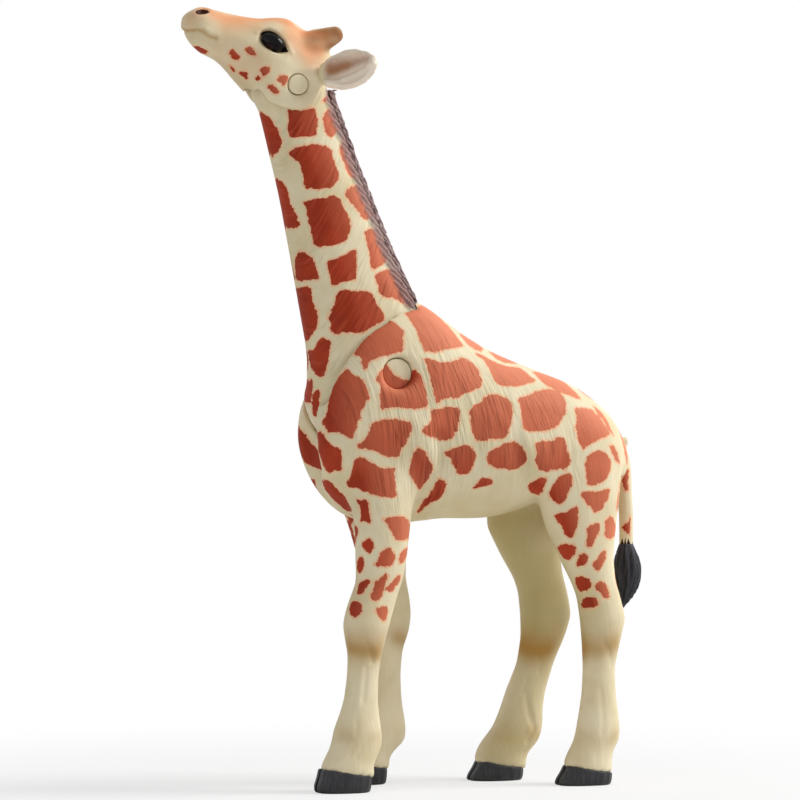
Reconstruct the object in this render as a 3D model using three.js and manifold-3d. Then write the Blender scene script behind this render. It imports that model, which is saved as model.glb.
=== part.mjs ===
// Toy giraffe with a tilting neck and a nodding head, as an assembly of moulded pieces.
// Millimetres, +Z up, the nose points along -X and the animal's left side is -Y.
import * as THREE from "three";
import { mergeVertices } from "three/addons/utils/BufferGeometryUtils.js";
import Module from "manifold-3d";

const wasm = await Module();
wasm.setup();

// Driving dimensions of the standing animal
const BELLY_HEIGHT = 44.5;
const TORSO_DEPTH = 36;
const TORSO_LENGTH = 57;
const TORSO_WIDTH = 21.6;
const STANCE_WIDTH = 13.6;
const LEG_THICKNESS = 8;
const FORE_HOOF_HEIGHT = 3.5;
const HIND_HOOF_HEIGHT = 2.9;
const HOOF_LENGTH = 9.4;
const HOOF_WIDTH = 7.2;
const NECK_LENGTH = 49.7;
const NECK_DEPTH = 20;
const NECK_WIDTH = 10.6;
const HEAD_LENGTH = 21;
const HEAD_WIDTH = 10.8;
const EAR_LENGTH = 11.4;
const EAR_WIDTH = 6.4;
const EAR_THICKNESS = 2.6;
const HORN_LENGTH = 5;
const HORN_DIAMETER = 4.5;
const TAIL_LENGTH = 17.5;
const TAIL_DIAMETER = 2.6;
const TUFT_LENGTH = 11;
const TUFT_DIAMETER = 4.6;
const MANE_WIDTH = 6.4;
const MANE_HEIGHT = 1;
const MANE_LOCKS = 20;
const EYE_LENGTH = 4.9;
const EYE_HEIGHT = 2.7;
const EYE_BULGE = 2.2;

// Angles of the pose in which the figure stands
const NECK_LEAN = THREE.MathUtils.degToRad(18.8);
const HEAD_PITCH = THREE.MathUtils.degToRad(29);
const NECK_TRAVEL = THREE.MathUtils.degToRad(24);
const HEAD_TRAVEL = THREE.MathUtils.degToRad(45);
const HOOF_SLOPE = THREE.MathUtils.degToRad(9);
const BREAST_START = THREE.MathUtils.degToRad(8);
const BREAST_END = THREE.MathUtils.degToRad(80);
const BREAST_PLAY = THREE.MathUtils.degToRad(1.5);

// Pivots
const NECK_PIN_RADIUS = 2.3;
const NECK_PIN_LENGTH = 16.6;
const HEAD_PIN_RADIUS = 1.45;
const HEAD_PIN_LENGTH = 10.3;
const NECK_DISC_RADIUS = 12.6;
const BREAST_RADIUS = 14.4;
const HEAD_TONGUE_RADIUS = 6;
const CHEEK_RADIUS = 4.3;
const CHEEK_ROUND = 0.8;
const HEAD_TONGUE_WIDTH = 6.8;

// Clearances and small features
const CLEARANCE = 0.3;
const CHEST_REACH = 1.2;
const VALLEY_LENGTH = 24;
const VALLEY_WIDTH = 7.6;
const VALLEY_DEPTH = 1.9;
const SLIT_DEPTH = 3.8;
const SLIT_WIDTH = 1.6;
const TONGUE_ROUND = 0.6;
const DISC_FLAT_SHARE = 0.5;
const DISC_ARC_SHARE = 0.94;
const DISC_RIM_POWER = 0.7;
const DISC_STEPS = 4;
const SLIT_START_SHARE = 0.8;
const SLIT_TOP_SHARE = 0.4;
const SLIT_END_SHARE = 0.05;
const PEG_RADIUS = 1.3;
const PEG_LENGTH = 3;
const TAIL_PEG_LENGTH = 2.5;
const TAIL_PEG_RADIUS = 0.9;
const CLEFT_WIDTH = 0.7;
const CLEFT_DEPTH = 3.2;
const MOUTH_GAP = 0.35;
const LIP_DEPTH = 0.5;
const NOSTRIL_LENGTH = 1.8;
const OVERRUN = 60;
const ROUND_SEGMENTS = 24;
const DISC_SEGMENTS = 28;
const HOOF_SEGMENTS = 16;
const LEG_SEGMENTS = 12;
const TORSO_SEGMENTS = 24;
const NECK_SEGMENTS = 18;
const SKULL_SEGMENTS = 18;
const TAIL_SEGMENTS = 10;
const MANE_SEGMENTS = 16;
const BREAST_STEPS = 10;
const HORN_SEGMENTS = 12;
const EYE_SEGMENTS = 14;
const EAR_SEGMENTS = 14;
const NOSTRIL_SEGMENTS = 8;
const VALLEY_SEGMENTS = 16;
const PEG_SEGMENTS = 16;
const GROOVE_STEPS = 3;
const GROOVE_SEGMENTS = 10;

// Where things sit, as shares of the sizes that they follow
const NECK_PIVOT_UP_SHARE = 0.656;
const SHOULDER_ALONG_SHARE = 0.2;
const HIP_ALONG_SHARE = 0.824;
const TAIL_ROOT_ALONG_SHARE = 0.965;
const TAIL_ROOT_UP_SHARE = 0.35;
const TORSO_FRONT_SHARE = 0.34;
const VALLEY_ALONG_SHARE = 0.026;
const VALLEY_UP_SHARE = 0.3;
const VALLEY_SLANT = 0.2;

// Torso stations: along the torso, top and bottom of the section above the belly line, half width
const TORSO_SHARES = [
  [0.015, 0.43, 0.36, 0.28],
  [0.022, 0.52, 0.27, 0.54],
  [0.042, 0.65, 0.17, 0.71],
  [0.073, 0.762, 0.09, 0.81],
  [0.112, 0.856, 0.028, 0.87],
  [0.16, 0.944, -0.012, 0.912],
  [0.228, 1.005, -0.034, 0.94],
  [0.296, 1.012, -0.034, 0.95],
  [0.365, 0.975, -0.024, 0.955],
  [0.433, 0.9, -0.014, 0.963],
  [0.501, 0.825, -0.017, 0.98],
  [0.586, 0.752, -0.008, 1.0],
  [0.671, 0.697, 0.03, 0.99],
  [0.756, 0.647, 0.082, 0.955],
  [0.825, 0.602, 0.11, 0.9],
  [0.884, 0.543, 0.119, 0.81],
  [0.935, 0.473, 0.125, 0.67],
  [0.969, 0.396, 0.14, 0.5],
  [0.991, 0.325, 0.175, 0.3],
  [1.0, 0.26, 0.24, 0.06],
];
const TORSO_WIDEST_SHARE = 0.42;
const TORSO_SQUARENESS = 2.05;

// Pegs that hold the two halves of the body together: along the torso, up over its depth
const PEG_SHARES = [
  [0.2, 0.12],
  [0.6, 0.42],
  [0.86, 0.36],
];

// Leg stations: height over the belly height; how far the left and the right leg swing back from
// the shoulder or hip, over the belly height; half depth of the left and of the right leg and half
// width, over the leg thickness; distance from the middle plane over the stance width
const FORELEG_SHARES = [
  [1.26, 0.0, 0.01, 0.78, 0.78, 0.4, 0.455],
  [1.124, 0.007, 0.045, 0.725, 0.725, 0.49, 0.46],
  [0.966, 0.009, 0.083, 0.59, 0.59, 0.51, 0.465],
  [0.836, 0.002, 0.112, 0.54, 0.52, 0.47, 0.475],
  [0.769, -0.005, 0.124, 0.495, 0.44, 0.42, 0.48],
  [0.717, -0.026, 0.136, 0.503, 0.44, 0.41, 0.485],
  [0.67, -0.042, 0.14, 0.512, 0.465, 0.435, 0.49],
  [0.613, -0.057, 0.14, 0.5, 0.475, 0.45, 0.49],
  [0.557, -0.061, 0.138, 0.435, 0.43, 0.4, 0.495],
  [0.501, -0.064, 0.13, 0.36, 0.36, 0.335, 0.5],
  [0.418, -0.072, 0.126, 0.34, 0.34, 0.315, 0.5],
  [0.335, -0.079, 0.123, 0.367, 0.367, 0.335, 0.5],
  [0.28, -0.0855, 0.118, 0.43, 0.43, 0.38, 0.5],
  [0.23, -0.0915, 0.113, 0.51, 0.51, 0.44, 0.5],
  [0.185, -0.094, 0.111, 0.54, 0.535, 0.465, 0.5],
  [0.155, -0.102, 0.1, 0.548, 0.555, 0.465, 0.5],
  [0.128, -0.118, 0.068, 0.555, 0.54, 0.46, 0.5],
  [0.1, -0.131, 0.044, 0.56, 0.54, 0.455, 0.5],
  [0.03, -0.134, 0.036, 0.56, 0.54, 0.445, 0.5],
];
const HINDLEG_SHARES = [
  [1.26, -0.01, -0.03, 0.98, 0.98, 0.42, 0.43],
  [1.17, -0.012, -0.06, 0.98, 0.98, 0.52, 0.43],
  [1.056, -0.012, -0.104, 0.9, 0.95, 0.55, 0.44],
  [0.95, -0.004, -0.122, 0.77, 0.84, 0.54, 0.45],
  [0.843, 0.016, -0.097, 0.59, 0.66, 0.49, 0.46],
  [0.757, 0.042, -0.063, 0.49, 0.555, 0.43, 0.47],
  [0.701, 0.062, -0.044, 0.475, 0.55, 0.42, 0.48],
  [0.616, 0.079, -0.031, 0.5, 0.57, 0.435, 0.49],
  [0.537, 0.071, -0.042, 0.425, 0.495, 0.375, 0.495],
  [0.436, 0.062, -0.073, 0.35, 0.415, 0.325, 0.5],
  [0.335, 0.0615, -0.111, 0.375, 0.445, 0.345, 0.5],
  [0.265, 0.0605, -0.129, 0.43, 0.475, 0.39, 0.5],
  [0.2, 0.059, -0.143, 0.48, 0.55, 0.435, 0.5],
  [0.158, 0.05, -0.1655, 0.49, 0.625, 0.445, 0.5],
  [0.128, 0.031, -0.188, 0.482, 0.635, 0.445, 0.5],
  [0.1, 0.02, -0.209, 0.51, 0.58, 0.445, 0.5],
  [0.03, 0.016, -0.219, 0.525, 0.545, 0.44, 0.5],
];

// Hoof stations: height over the hoof's height; length and width over the hoof's own; how far the
// station lies in front of the leg's foot, over the hoof's length
const HOOF_SHARES = [
  [0.0, 0.94, 0.9, 0.075],
  [0.12, 0.99, 0.975, 0.078],
  [0.35, 1.0, 1.0, 0.07],
  [0.7, 0.965, 0.98, 0.045],
  [1.8, 0.87, 0.9, 0.0],
];
const HOOF_SQUARENESS = 2.5;
const LEG_SQUARENESS = 2.15;
const HOOF_TOE_SHARE = 0.55;

// Neck stations: along the neck; front and back faces over the neck depth; half width over half
// the neck width; squareness of the section
const NECK_SHARES = [
  [-0.04, -0.55, 0.45, 1.0, 2.6],
  [0.08, -0.578, 0.45, 1.0, 2.5],
  [0.17, -0.538, 0.44, 1.0, 2.4],
  [0.272, -0.502, 0.4, 0.99, 2.3],
  [0.398, -0.455, 0.36, 0.96, 2.3],
  [0.557, -0.4, 0.33, 0.91, 2.3],
  [0.676, -0.362, 0.312, 0.85, 2.3],
  [0.795, -0.337, 0.3, 0.77, 2.4],
  [0.885, -0.318, 0.29, 0.69, 2.6],
  [0.96, -0.3, 0.28, 0.64, 3.0],
  [1.02, -0.27, 0.26, 0.6, 3.0],
];
const MANE_FOOT_SHARE = 0.198;
const MANE_TOP_SHARE = 0.945;
const MANE_TOP_WIDTH_SHARE = 0.85;
const MANE_TOOTH_SHARE = 0.86;
const MANE_REACH_SHARE = 0.36;
const MANE_SQUARENESS = 4;

// Head stations: from the pivot towards the nose, with top and bottom, over the head length;
// half width over half the head width; squareness of the section's lower half
const HEAD_SHARES = [
  [-0.21, 0.275, 0.11, 0.4, 2.2],
  [-0.188, 0.36, -0.04, 0.8, 2.8],
  [-0.135, 0.4, -0.155, 0.92, 3.6],
  [-0.067, 0.42, -0.205, 0.96, 4.4],
  [0.022, 0.433, -0.236, 0.975, 5.0],
  [0.112, 0.44, -0.25, 0.985, 5.0],
  [0.188, 0.446, -0.243, 1.0, 3.8],
  [0.26, 0.449, -0.226, 1.0, 2.9],
  [0.332, 0.42, -0.203, 0.98, 2.4],
  [0.404, 0.375, -0.187, 0.88, 2.2],
  [0.471, 0.33, -0.162, 0.78, 2.2],
  [0.592, 0.281, -0.13, 0.66, 2.2],
  [0.686, 0.249, -0.135, 0.61, 2.2],
  [0.744, 0.231, -0.138, 0.62, 2.2],
  [0.839, 0.202, -0.115, 0.65, 2.2],
  [0.919, 0.17, -0.068, 0.585, 2.2],
  [0.969, 0.115, -0.03, 0.45, 2.2],
  [1.0, 0.055, 0.02, 0.15, 2.0],
];
const HEAD_WIDEST_SHARE = 0.48;
const HEAD_SQUARENESS = 2.2;
const CHEEK_WIDTH_SHARE = 0.96;

// Horn outline: up over the horn's length, out over half its diameter
const HORN_SHARES = [
  [-0.4, 0.0],
  [-0.4, 1.15],
  [0.0, 1.05],
  [0.35, 0.86],
  [0.7, 0.7],
  [0.88, 0.61],
  [0.97, 0.38],
  [1.0, 0.0],
];
const HORN_AIM = [0.6, 0.16, 0.79];
const HORN_ALONG_SHARE = 0.0;
const HORN_OUT_SHARE = 0.22;
const HORN_UP_SHARE = 0.37;

// Where the face's parts sit: along the head, out over the head's width, up over the head's length
const EYE_SPOT = [0.33, 0.41, 0.188];
const EYE_ALONG = [-1, 0, 0.12];
const EYE_FACING = [-0.28, 1, 0.16];
const EAR_SPOT = [-0.156, 0.4, 0.142];
const EAR_ALONG = [0.365, 0.8, 0.477];
const EAR_FACING = [-0.65, 0.59, -0.48];
const EAR_HOLLOW_SHARES = [0.84, 0.78, 1.44];
const EAR_HOLLOW_FORWARD = 0.52;
const EAR_HOLLOW_OUT = 0.03;
const NOSTRIL_SPOT = [0.91, 0.17, 0.15];
const NOSTRIL_ALONG = [-0.7, 0.25, 0.3];
const NOSTRIL_FACING = [-0.2, 0.75, 0.7];
const NOSTRIL_SHARES = [0.5, 0.3, 0.4];

// Line of the lips: along and up, over the head's length
const MOUTH_SHARES = [
  [1.03, 0.01],
  [0.96, 0.035],
  [0.9, 0.045],
  [0.84, 0.03],
  [0.77, 0.002],
];

// Geometry helpers

function geometryFromPoints(points, faces) {
  const geometry = new THREE.BufferGeometry();
  geometry.setAttribute("position", new THREE.Float32BufferAttribute(points.flat(), 3));
  geometry.setIndex(faces.flat());
  return geometry;
}

function signedVolume(position, index) {
  const a = new THREE.Vector3();
  const b = new THREE.Vector3();
  const c = new THREE.Vector3();
  let total = 0;
  for (let i = 0; i < index.count; i += 3) {
    a.fromBufferAttribute(position, index.getX(i));
    b.fromBufferAttribute(position, index.getX(i + 1));
    c.fromBufferAttribute(position, index.getX(i + 2));
    total += a.dot(b.cross(c));
  }
  return total;
}

// A closed three.js geometry as a manifold-3d solid, turned outwards if it is inside out.
function solid(geometry) {
  const bare = geometry.clone();
  bare.deleteAttribute("normal");
  bare.deleteAttribute("uv");
  const merged = mergeVertices(bare, 1e-4);
  const triVerts = new Uint32Array(merged.index.array);
  if (signedVolume(merged.attributes.position, merged.index) < 0) {
    for (let i = 0; i < triVerts.length; i += 3) {
      [triVerts[i + 1], triVerts[i + 2]] = [triVerts[i + 2], triVerts[i + 1]];
    }
  }
  const vertProperties = new Float32Array(merged.attributes.position.array);
  return new wasm.Manifold(new wasm.Mesh({ numProp: 3, vertProperties, triVerts }));
}

function geometryOf(made) {
  const mesh = made.getMesh();
  const geometry = new THREE.BufferGeometry();
  geometry.setAttribute("position", new THREE.BufferAttribute(new Float32Array(mesh.vertProperties), 3));
  geometry.setIndex(new THREE.BufferAttribute(new Uint32Array(mesh.triVerts), 1));
  return geometry;
}

function catmullRom(p0, p1, p2, p3, t) {
  const tangentIn = (p2 - p0) / 2;
  const tangentOut = (p3 - p1) / 2;
  const curve = 2 * p1 - 2 * p2 + tangentIn + tangentOut;
  const bend = -3 * p1 + 3 * p2 - 2 * tangentIn - tangentOut;
  return ((curve * t + bend) * t + tangentIn) * t + p1;
}

// Fills in between hand-chosen stations with a smooth curve through every column.
function smoothStations(table, steps) {
  const rows = [];
  for (let i = 0; i < table.length - 1; i += 1) {
    const before = table[Math.max(i - 1, 0)];
    const after = table[Math.min(i + 2, table.length - 1)];
    for (let s = 0; s < steps; s += 1) {
      const t = s / steps;
      rows.push(table[i].map((value, c) => catmullRom(before[c], value, table[i + 1][c], after[c], t)));
    }
  }
  rows.push(table[table.length - 1]);
  return rows;
}

function signedPower(value, power) {
  return Math.sign(value) * Math.abs(value) ** power;
}

// One section of a loft: an oval whose upper and lower halves may differ.
// place(across, up) turns section coordinates into a point.
function section(shape, place) {
  const { halfWidth, upper, lower, squareness = 2, lowerSquareness = squareness, segments = 24 } = shape;
  const points = [];
  for (let i = 0; i < segments; i += 1) {
    const angle = (i / segments) * Math.PI * 2;
    const isUpper = Math.sin(angle) > 0;
    const power = 2 / (isUpper ? squareness : lowerSquareness);
    const across = halfWidth * signedPower(Math.cos(angle), power);
    const reach = isUpper ? upper : lower;
    points.push(place(across, reach * signedPower(Math.sin(angle), power)));
  }
  return points;
}

// Skins a stack of sections and closes both ends with a fan.
function loft(sections) {
  const size = sections[0].length;
  const points = sections.flat();
  const faces = [];
  for (let r = 0; r < sections.length - 1; r += 1) {
    for (let i = 0; i < size; i += 1) {
      const a = r * size + i;
      const b = r * size + ((i + 1) % size);
      faces.push([a, b, b + size], [a, b + size, a + size]);
    }
  }
  const ends = [
    [0, sections[0]],
    [(sections.length - 1) * size, sections[sections.length - 1]],
  ];
  ends.forEach(([start, ring], end) => {
    const middle = [0, 1, 2].map((k) => ring.reduce((sum, p) => sum + p[k], 0) / size);
    const hub = points.push(middle) - 1;
    for (let i = 0; i < size; i += 1) {
      const a = start + i;
      const b = start + ((i + 1) % size);
      faces.push(end === 0 ? [hub, b, a] : [hub, a, b]);
    }
  });
  return solid(geometryFromPoints(points, faces));
}

// A round pin or bore along Y, centred on a point.
function crossPin(radius, length, x, z) {
  const geometry = new THREE.CylinderGeometry(radius, radius, length, ROUND_SEGMENTS);
  return solid(geometry.translate(x, 0, z));
}

// A solid of revolution about Y through a point, from [radius, half width] pairs, middle outwards.
function puck(profile, x, z) {
  const near = profile.map(([r, h]) => new THREE.Vector2(r, -h));
  const far = profile.map(([r, h]) => new THREE.Vector2(r, h)).reverse();
  const first = new THREE.Vector2(0, near[0].y);
  const last = new THREE.Vector2(0, far[far.length - 1].y);
  const outline = [first, ...near, ...far, last];
  return solid(new THREE.LatheGeometry(outline, DISC_SEGMENTS).translate(x, 0, z));
}

function box(sizeX, sizeY, sizeZ, x, y, z) {
  return solid(new THREE.BoxGeometry(sizeX, sizeY, sizeZ).translate(x, y, z));
}

// An outline in the XZ plane, made as wide as given along Y and centred on the middle plane.
function slab(outline, width) {
  const shape = new THREE.Shape(outline.map(([x, z]) => new THREE.Vector2(x, z)));
  const geometry = new THREE.ExtrudeGeometry(shape, { depth: width, bevelEnabled: false });
  return solid(geometry.rotateX(Math.PI / 2).translate(0, width / 2, 0));
}

// An ellipsoid with its long axis along one direction and its flat side facing another, from half
// its length, width and thickness.
function ellipsoid(halfSizes, along, facing, centre, segments) {
  const z = facing.clone().normalize();
  const x = along.clone().addScaledVector(z, -along.dot(z)).normalize();
  const y = new THREE.Vector3().crossVectors(z, x);
  const turn = new THREE.Matrix4().makeBasis(x, y, z).setPosition(centre);
  const geometry = new THREE.SphereGeometry(1, segments, segments / 2);
  return solid(geometry.scale(...halfSizes).applyMatrix4(turn));
}

function piece(name, made, material) {
  const mesh = new THREE.Mesh(geometryOf(made), material);
  mesh.name = name;
  return mesh;
}

// Materials
const cream = new THREE.MeshStandardMaterial({ color: 0xe9dfb8, roughness: 0.55, metalness: 0 });
const paleCream = new THREE.MeshStandardMaterial({ color: 0xe2d9b2, roughness: 0.5, metalness: 0 });
const maneBrown = new THREE.MeshStandardMaterial({ color: 0x5d4a44, roughness: 0.7, metalness: 0 });
const hoofBlack = new THREE.MeshStandardMaterial({ color: 0x35363b, roughness: 0.5, metalness: 0 });
const tuftBlack = new THREE.MeshStandardMaterial({ color: 0x25262b, roughness: 0.55, metalness: 0 });
const eyeBlack = new THREE.MeshStandardMaterial({ color: 0x0b0a0a, roughness: 0.08, metalness: 0 });
const earPink = new THREE.MeshStandardMaterial({ color: 0xd8c8b8, roughness: 0.6, metalness: 0 });

// The front end of the torso lies where the middle of the whole figure falls near the origin.
const torsoFront = -TORSO_LENGTH * TORSO_FRONT_SHARE;
const alongTorso = (share) => torsoFront + share * TORSO_LENGTH;
const upTorso = (share) => BELLY_HEIGHT + share * TORSO_DEPTH;
const neckPivot = { x: torsoFront + NECK_DISC_RADIUS + CHEST_REACH, z: upTorso(NECK_PIVOT_UP_SHARE) };

function torsoBarrel() {
  const rings = smoothStations(TORSO_SHARES, 2).map(([along, top, bottom, halfWidth]) => {
    const x = alongTorso(along);
    const high = upTorso(top);
    const low = upTorso(bottom);
    const middle = low + (high - low) * TORSO_WIDEST_SHARE;
    const shape = {
      halfWidth: (halfWidth * TORSO_WIDTH) / 2,
      upper: high - middle,
      lower: middle - low,
      squareness: TORSO_SQUARENESS,
      segments: TORSO_SEGMENTS,
    };
    return section(shape, (across, up) => [x, across, middle + up]);
  });
  return loft(rings);
}

// side is -1 for the animal's left and 1 for its right.
function legStations(table, side, rootX) {
  return table.map(([height, left, right, leftDepth, rightDepth, width, out]) => ({
    x: rootX + (side < 0 ? left : right) * BELLY_HEIGHT,
    y: side * out * STANCE_WIDTH,
    z: height * BELLY_HEIGHT,
    halfDepth: (side < 0 ? leftDepth : rightDepth) * LEG_THICKNESS,
    halfWidth: width * LEG_THICKNESS,
  }));
}

function legLoft(stations) {
  return loft(
    stations.map(({ x, y, z, halfDepth, halfWidth }) => {
      const shape = {
        halfWidth: halfDepth,
        upper: halfWidth,
        lower: halfWidth,
        squareness: LEG_SQUARENESS,
        segments: LEG_SEGMENTS,
      };
      return section(shape, (across, up) => [x + across, y + up, z]);
    }),
  );
}

// A block that fills everything under a sloped plane through the top of the hoof.
function underCoronet(x, y, height) {
  const geometry = new THREE.BoxGeometry(OVERRUN, OVERRUN, OVERRUN)
    .translate(0, 0, -OVERRUN / 2)
    .rotateY(HOOF_SLOPE)
    .translate(x, y, height);
  return solid(geometry);
}

// A cloven hoof with a flat sole, cut off at the coronet.
function hoof({ foot, hoofHeight }) {
  const rings = HOOF_SHARES.map(([height, length, width, forward]) => {
    const shape = {
      halfWidth: (HOOF_LENGTH / 2) * length,
      upper: (HOOF_WIDTH / 2) * width,
      lower: (HOOF_WIDTH / 2) * width,
      squareness: HOOF_SQUARENESS,
      segments: HOOF_SEGMENTS,
    };
    const middleX = foot.x - forward * HOOF_LENGTH;
    return section(shape, (across, up) => [middleX + across, foot.y + up, height * hoofHeight]);
  });
  const front = foot.x - HOOF_LENGTH * HOOF_TOE_SHARE;
  const cleft = box(CLEFT_DEPTH * 2, CLEFT_WIDTH, OVERRUN, front, foot.y, 0);
  const above = underCoronet(foot.x, foot.y, hoofHeight - CLEARANCE);
  return loft(rings).intersect(above).subtract(cleft);
}

const shoulderX = alongTorso(SHOULDER_ALONG_SHARE);
const hipX = alongTorso(HIP_ALONG_SHARE);
const legSpots = [
  { name: "front_left", table: FORELEG_SHARES, side: -1, rootX: shoulderX, hoofHeight: FORE_HOOF_HEIGHT },
  { name: "front_right", table: FORELEG_SHARES, side: 1, rootX: shoulderX, hoofHeight: FORE_HOOF_HEIGHT },
  { name: "hind_left", table: HINDLEG_SHARES, side: -1, rootX: hipX, hoofHeight: HIND_HOOF_HEIGHT },
  { name: "hind_right", table: HINDLEG_SHARES, side: 1, rootX: hipX, hoofHeight: HIND_HOOF_HEIGHT },
].map((spot) => {
  const stations = legStations(spot.table, spot.side, spot.rootX);
  return { ...spot, stations, foot: stations[stations.length - 1] };
});

function wholeLeg({ stations, foot, hoofHeight }) {
  return legLoft(stations).subtract(underCoronet(foot.x, foot.y, hoofHeight));
}

// The round foot of the neck, from [radius, half width] pairs with a well rounded rim.
function discProfile(radius, inflate) {
  const half = NECK_WIDTH / 2 + inflate;
  const rim = radius + inflate;
  const flat = rim * DISC_FLAT_SHARE;
  const profile = [];
  for (let i = 0; i <= DISC_STEPS; i += 1) {
    const angle = (i / DISC_STEPS) * (Math.PI / 2) * DISC_ARC_SHARE;
    profile.push([flat + (rim - flat) * Math.sin(angle), half * Math.cos(angle) ** DISC_RIM_POWER]);
  }
  return profile;
}

// How far the breast stands out at an angle under the level line, with the neck anywhere in a swing.
function breastReach(angle, swing, play) {
  const middle = (BREAST_START + BREAST_END) / 2;
  const nearest = THREE.MathUtils.clamp(middle, angle - swing - play, angle + play);
  const t = THREE.MathUtils.clamp((nearest - BREAST_START) / (BREAST_END - BREAST_START), 0, 1);
  return NECK_DISC_RADIUS + (BREAST_RADIUS - NECK_DISC_RADIUS) * Math.sqrt(Math.sin(Math.PI * t));
}

// The full breast in front of the disc, about the pivot in the standing pose.
function breast(swing, play, inflate) {
  const from = BREAST_START - play;
  const to = BREAST_END + swing + play;
  const rings = [];
  for (let i = 0; i <= BREAST_STEPS; i += 1) {
    const angle = from + ((to - from) * i) / BREAST_STEPS;
    const place = (r, y) => [-r * Math.cos(angle), y, -r * Math.sin(angle)];
    const profile = discProfile(breastReach(angle, swing, play), inflate);
    const near = profile.map(([r, half]) => place(r, -half));
    const far = profile.map(([r, half]) => place(r, half)).reverse();
    rings.push([...near, ...far]);
  }
  return loft(rings);
}

// The slot for the neck: a lens-shaped pocket about the pivot, room for the breast, a slit that
// runs out through the chest, and a trough over them, which the neck swings forward through.
const slotHalfWidth = NECK_WIDTH / 2 + CLEARANCE;

function slitCut() {
  const { x, z } = neckPivot;
  const profile = [
    [NECK_DISC_RADIUS * SLIT_START_SHARE, SLIT_WIDTH / 2],
    [NECK_DISC_RADIUS + SLIT_DEPTH, SLIT_WIDTH * SLIT_END_SHARE],
  ];
  const top = z + NECK_DISC_RADIUS * SLIT_TOP_SHARE;
  const inFront = box(OVERRUN, OVERRUN, OVERRUN, x - OVERRUN / 2, 0, top - OVERRUN / 2);
  return puck(profile, x, z).intersect(inFront);
}

// The shallow valley down the middle of the chest, between the two halves of the body.
function chestValley() {
  const sizes = [VALLEY_LENGTH / 2, VALLEY_WIDTH / 2, VALLEY_DEPTH];
  const centre = new THREE.Vector3(alongTorso(VALLEY_ALONG_SHARE), 0, upTorso(VALLEY_UP_SHARE));
  const along = new THREE.Vector3(VALLEY_SLANT, 0, -1).normalize();
  return ellipsoid(sizes, along, new THREE.Vector3(-1, 0, 0), centre, VALLEY_SEGMENTS);
}

function troughCut() {
  const { x, z } = neckPivot;
  const lowest = NECK_LEAN + NECK_TRAVEL;
  const front = -NECK_SHARES[1][1] * NECK_DEPTH + CLEARANCE;
  const foot = [x - front * Math.cos(lowest), z - front * Math.sin(lowest)];
  const far = [foot[0] - OVERRUN * Math.sin(lowest), foot[1] + OVERRUN * Math.cos(lowest)];
  const back = [x - OVERRUN * Math.sin(NECK_LEAN), z + OVERRUN * Math.cos(NECK_LEAN)];
  return slab([foot, [x, z], back, far], slotHalfWidth * 2);
}

function neckSlot() {
  const { x, z } = neckPivot;
  const pocket = puck(discProfile(NECK_DISC_RADIUS, CLEARANCE), x, z);
  const breastRoom = breast(NECK_TRAVEL, BREAST_PLAY, CLEARANCE).translate(x, 0, z);
  const hole = neckShape(CLEARANCE).subtract(box(OVERRUN * 2, OVERRUN, OVERRUN, 0, 0, -OVERRUN / 2));
  const rest = solid(geometryOf(hole).rotateY(-NECK_LEAN).translate(x, 0, z));
  return pocket.add(breastRoom).add(slitCut()).add(troughCut()).add(rest);
}

function bodyHalves() {
  const { x, z } = neckPivot;
  const bore = crossPin(NECK_PIN_RADIUS + CLEARANCE, OVERRUN, x, z);
  let whole = torsoBarrel();
  legSpots.forEach((spot) => {
    whole = whole.add(wholeLeg(spot));
  });
  whole = whole.subtract(neckSlot()).subtract(bore).subtract(chestValley());
  const tail = tailSolid(CLEARANCE);
  whole = whole.subtract(tail);
  const pegSpots = PEG_SHARES.map(([along, up]) => [alongTorso(along), upTorso(up)]);
  const keep = OVERRUN * 2;
  const cutRight = box(keep, keep, keep * 2, 0, keep / 2 - CLEARANCE / 2, 0);
  const cutLeft = box(keep, keep, keep * 2, 0, -keep / 2 + CLEARANCE / 2, 0);
  let left = whole.subtract(cutRight);
  let right = whole.subtract(cutLeft);
  pegSpots.forEach(([pegX, pegZ]) => {
    left = left.add(crossPin(PEG_RADIUS, PEG_LENGTH * 2, pegX, pegZ));
    right = right.subtract(crossPin(PEG_RADIUS + CLEARANCE, (PEG_LENGTH + CLEARANCE) * 2, pegX, pegZ));
  });
  return { left, right };
}

// The tail hangs from a peg that the two halves of the body clamp.
const tailRoot = { x: alongTorso(TAIL_ROOT_ALONG_SHARE), z: upTorso(TAIL_ROOT_UP_SHARE) };

// Tail stations: down from the root over the tail length, back over the tail length, thickness
const TAIL_SHARES = [
  [-0.06, -0.09, 0.5],
  [0.0, -0.03, 0.9],
  [0.08, 0.045, 1.12],
  [0.25, 0.1, 1.08],
  [0.5, 0.118, 1.0],
  [0.75, 0.136, 0.95],
  [1.0, 0.137, 0.92],
];
const TAIL_PEG_DOWN_SHARE = 0.04;

// Tuft stations: down from its top over the tuft length, back over the tuft length, thickness
const TUFT_SHARES = [
  [0.0, 0.0, 0.5],
  [0.1, 0.0, 0.72],
  [0.3, 0.012, 0.96],
  [0.45, 0.02, 1.0],
  [0.65, -0.005, 0.82],
  [0.85, -0.05, 0.42],
  [1.0, -0.09, 0.1],
];

function hangingLoft(table, length, diameter, x, z, inflate = 0) {
  return loft(
    smoothStations(table, 2).map(([down, back, thick]) => {
      const radius = (thick * diameter) / 2 + inflate;
      const shape = { halfWidth: radius, upper: radius, lower: radius, segments: TAIL_SEGMENTS };
      return section(shape, (across, up) => [x + back * length + across, up, z - down * length]);
    }),
  );
}

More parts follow.
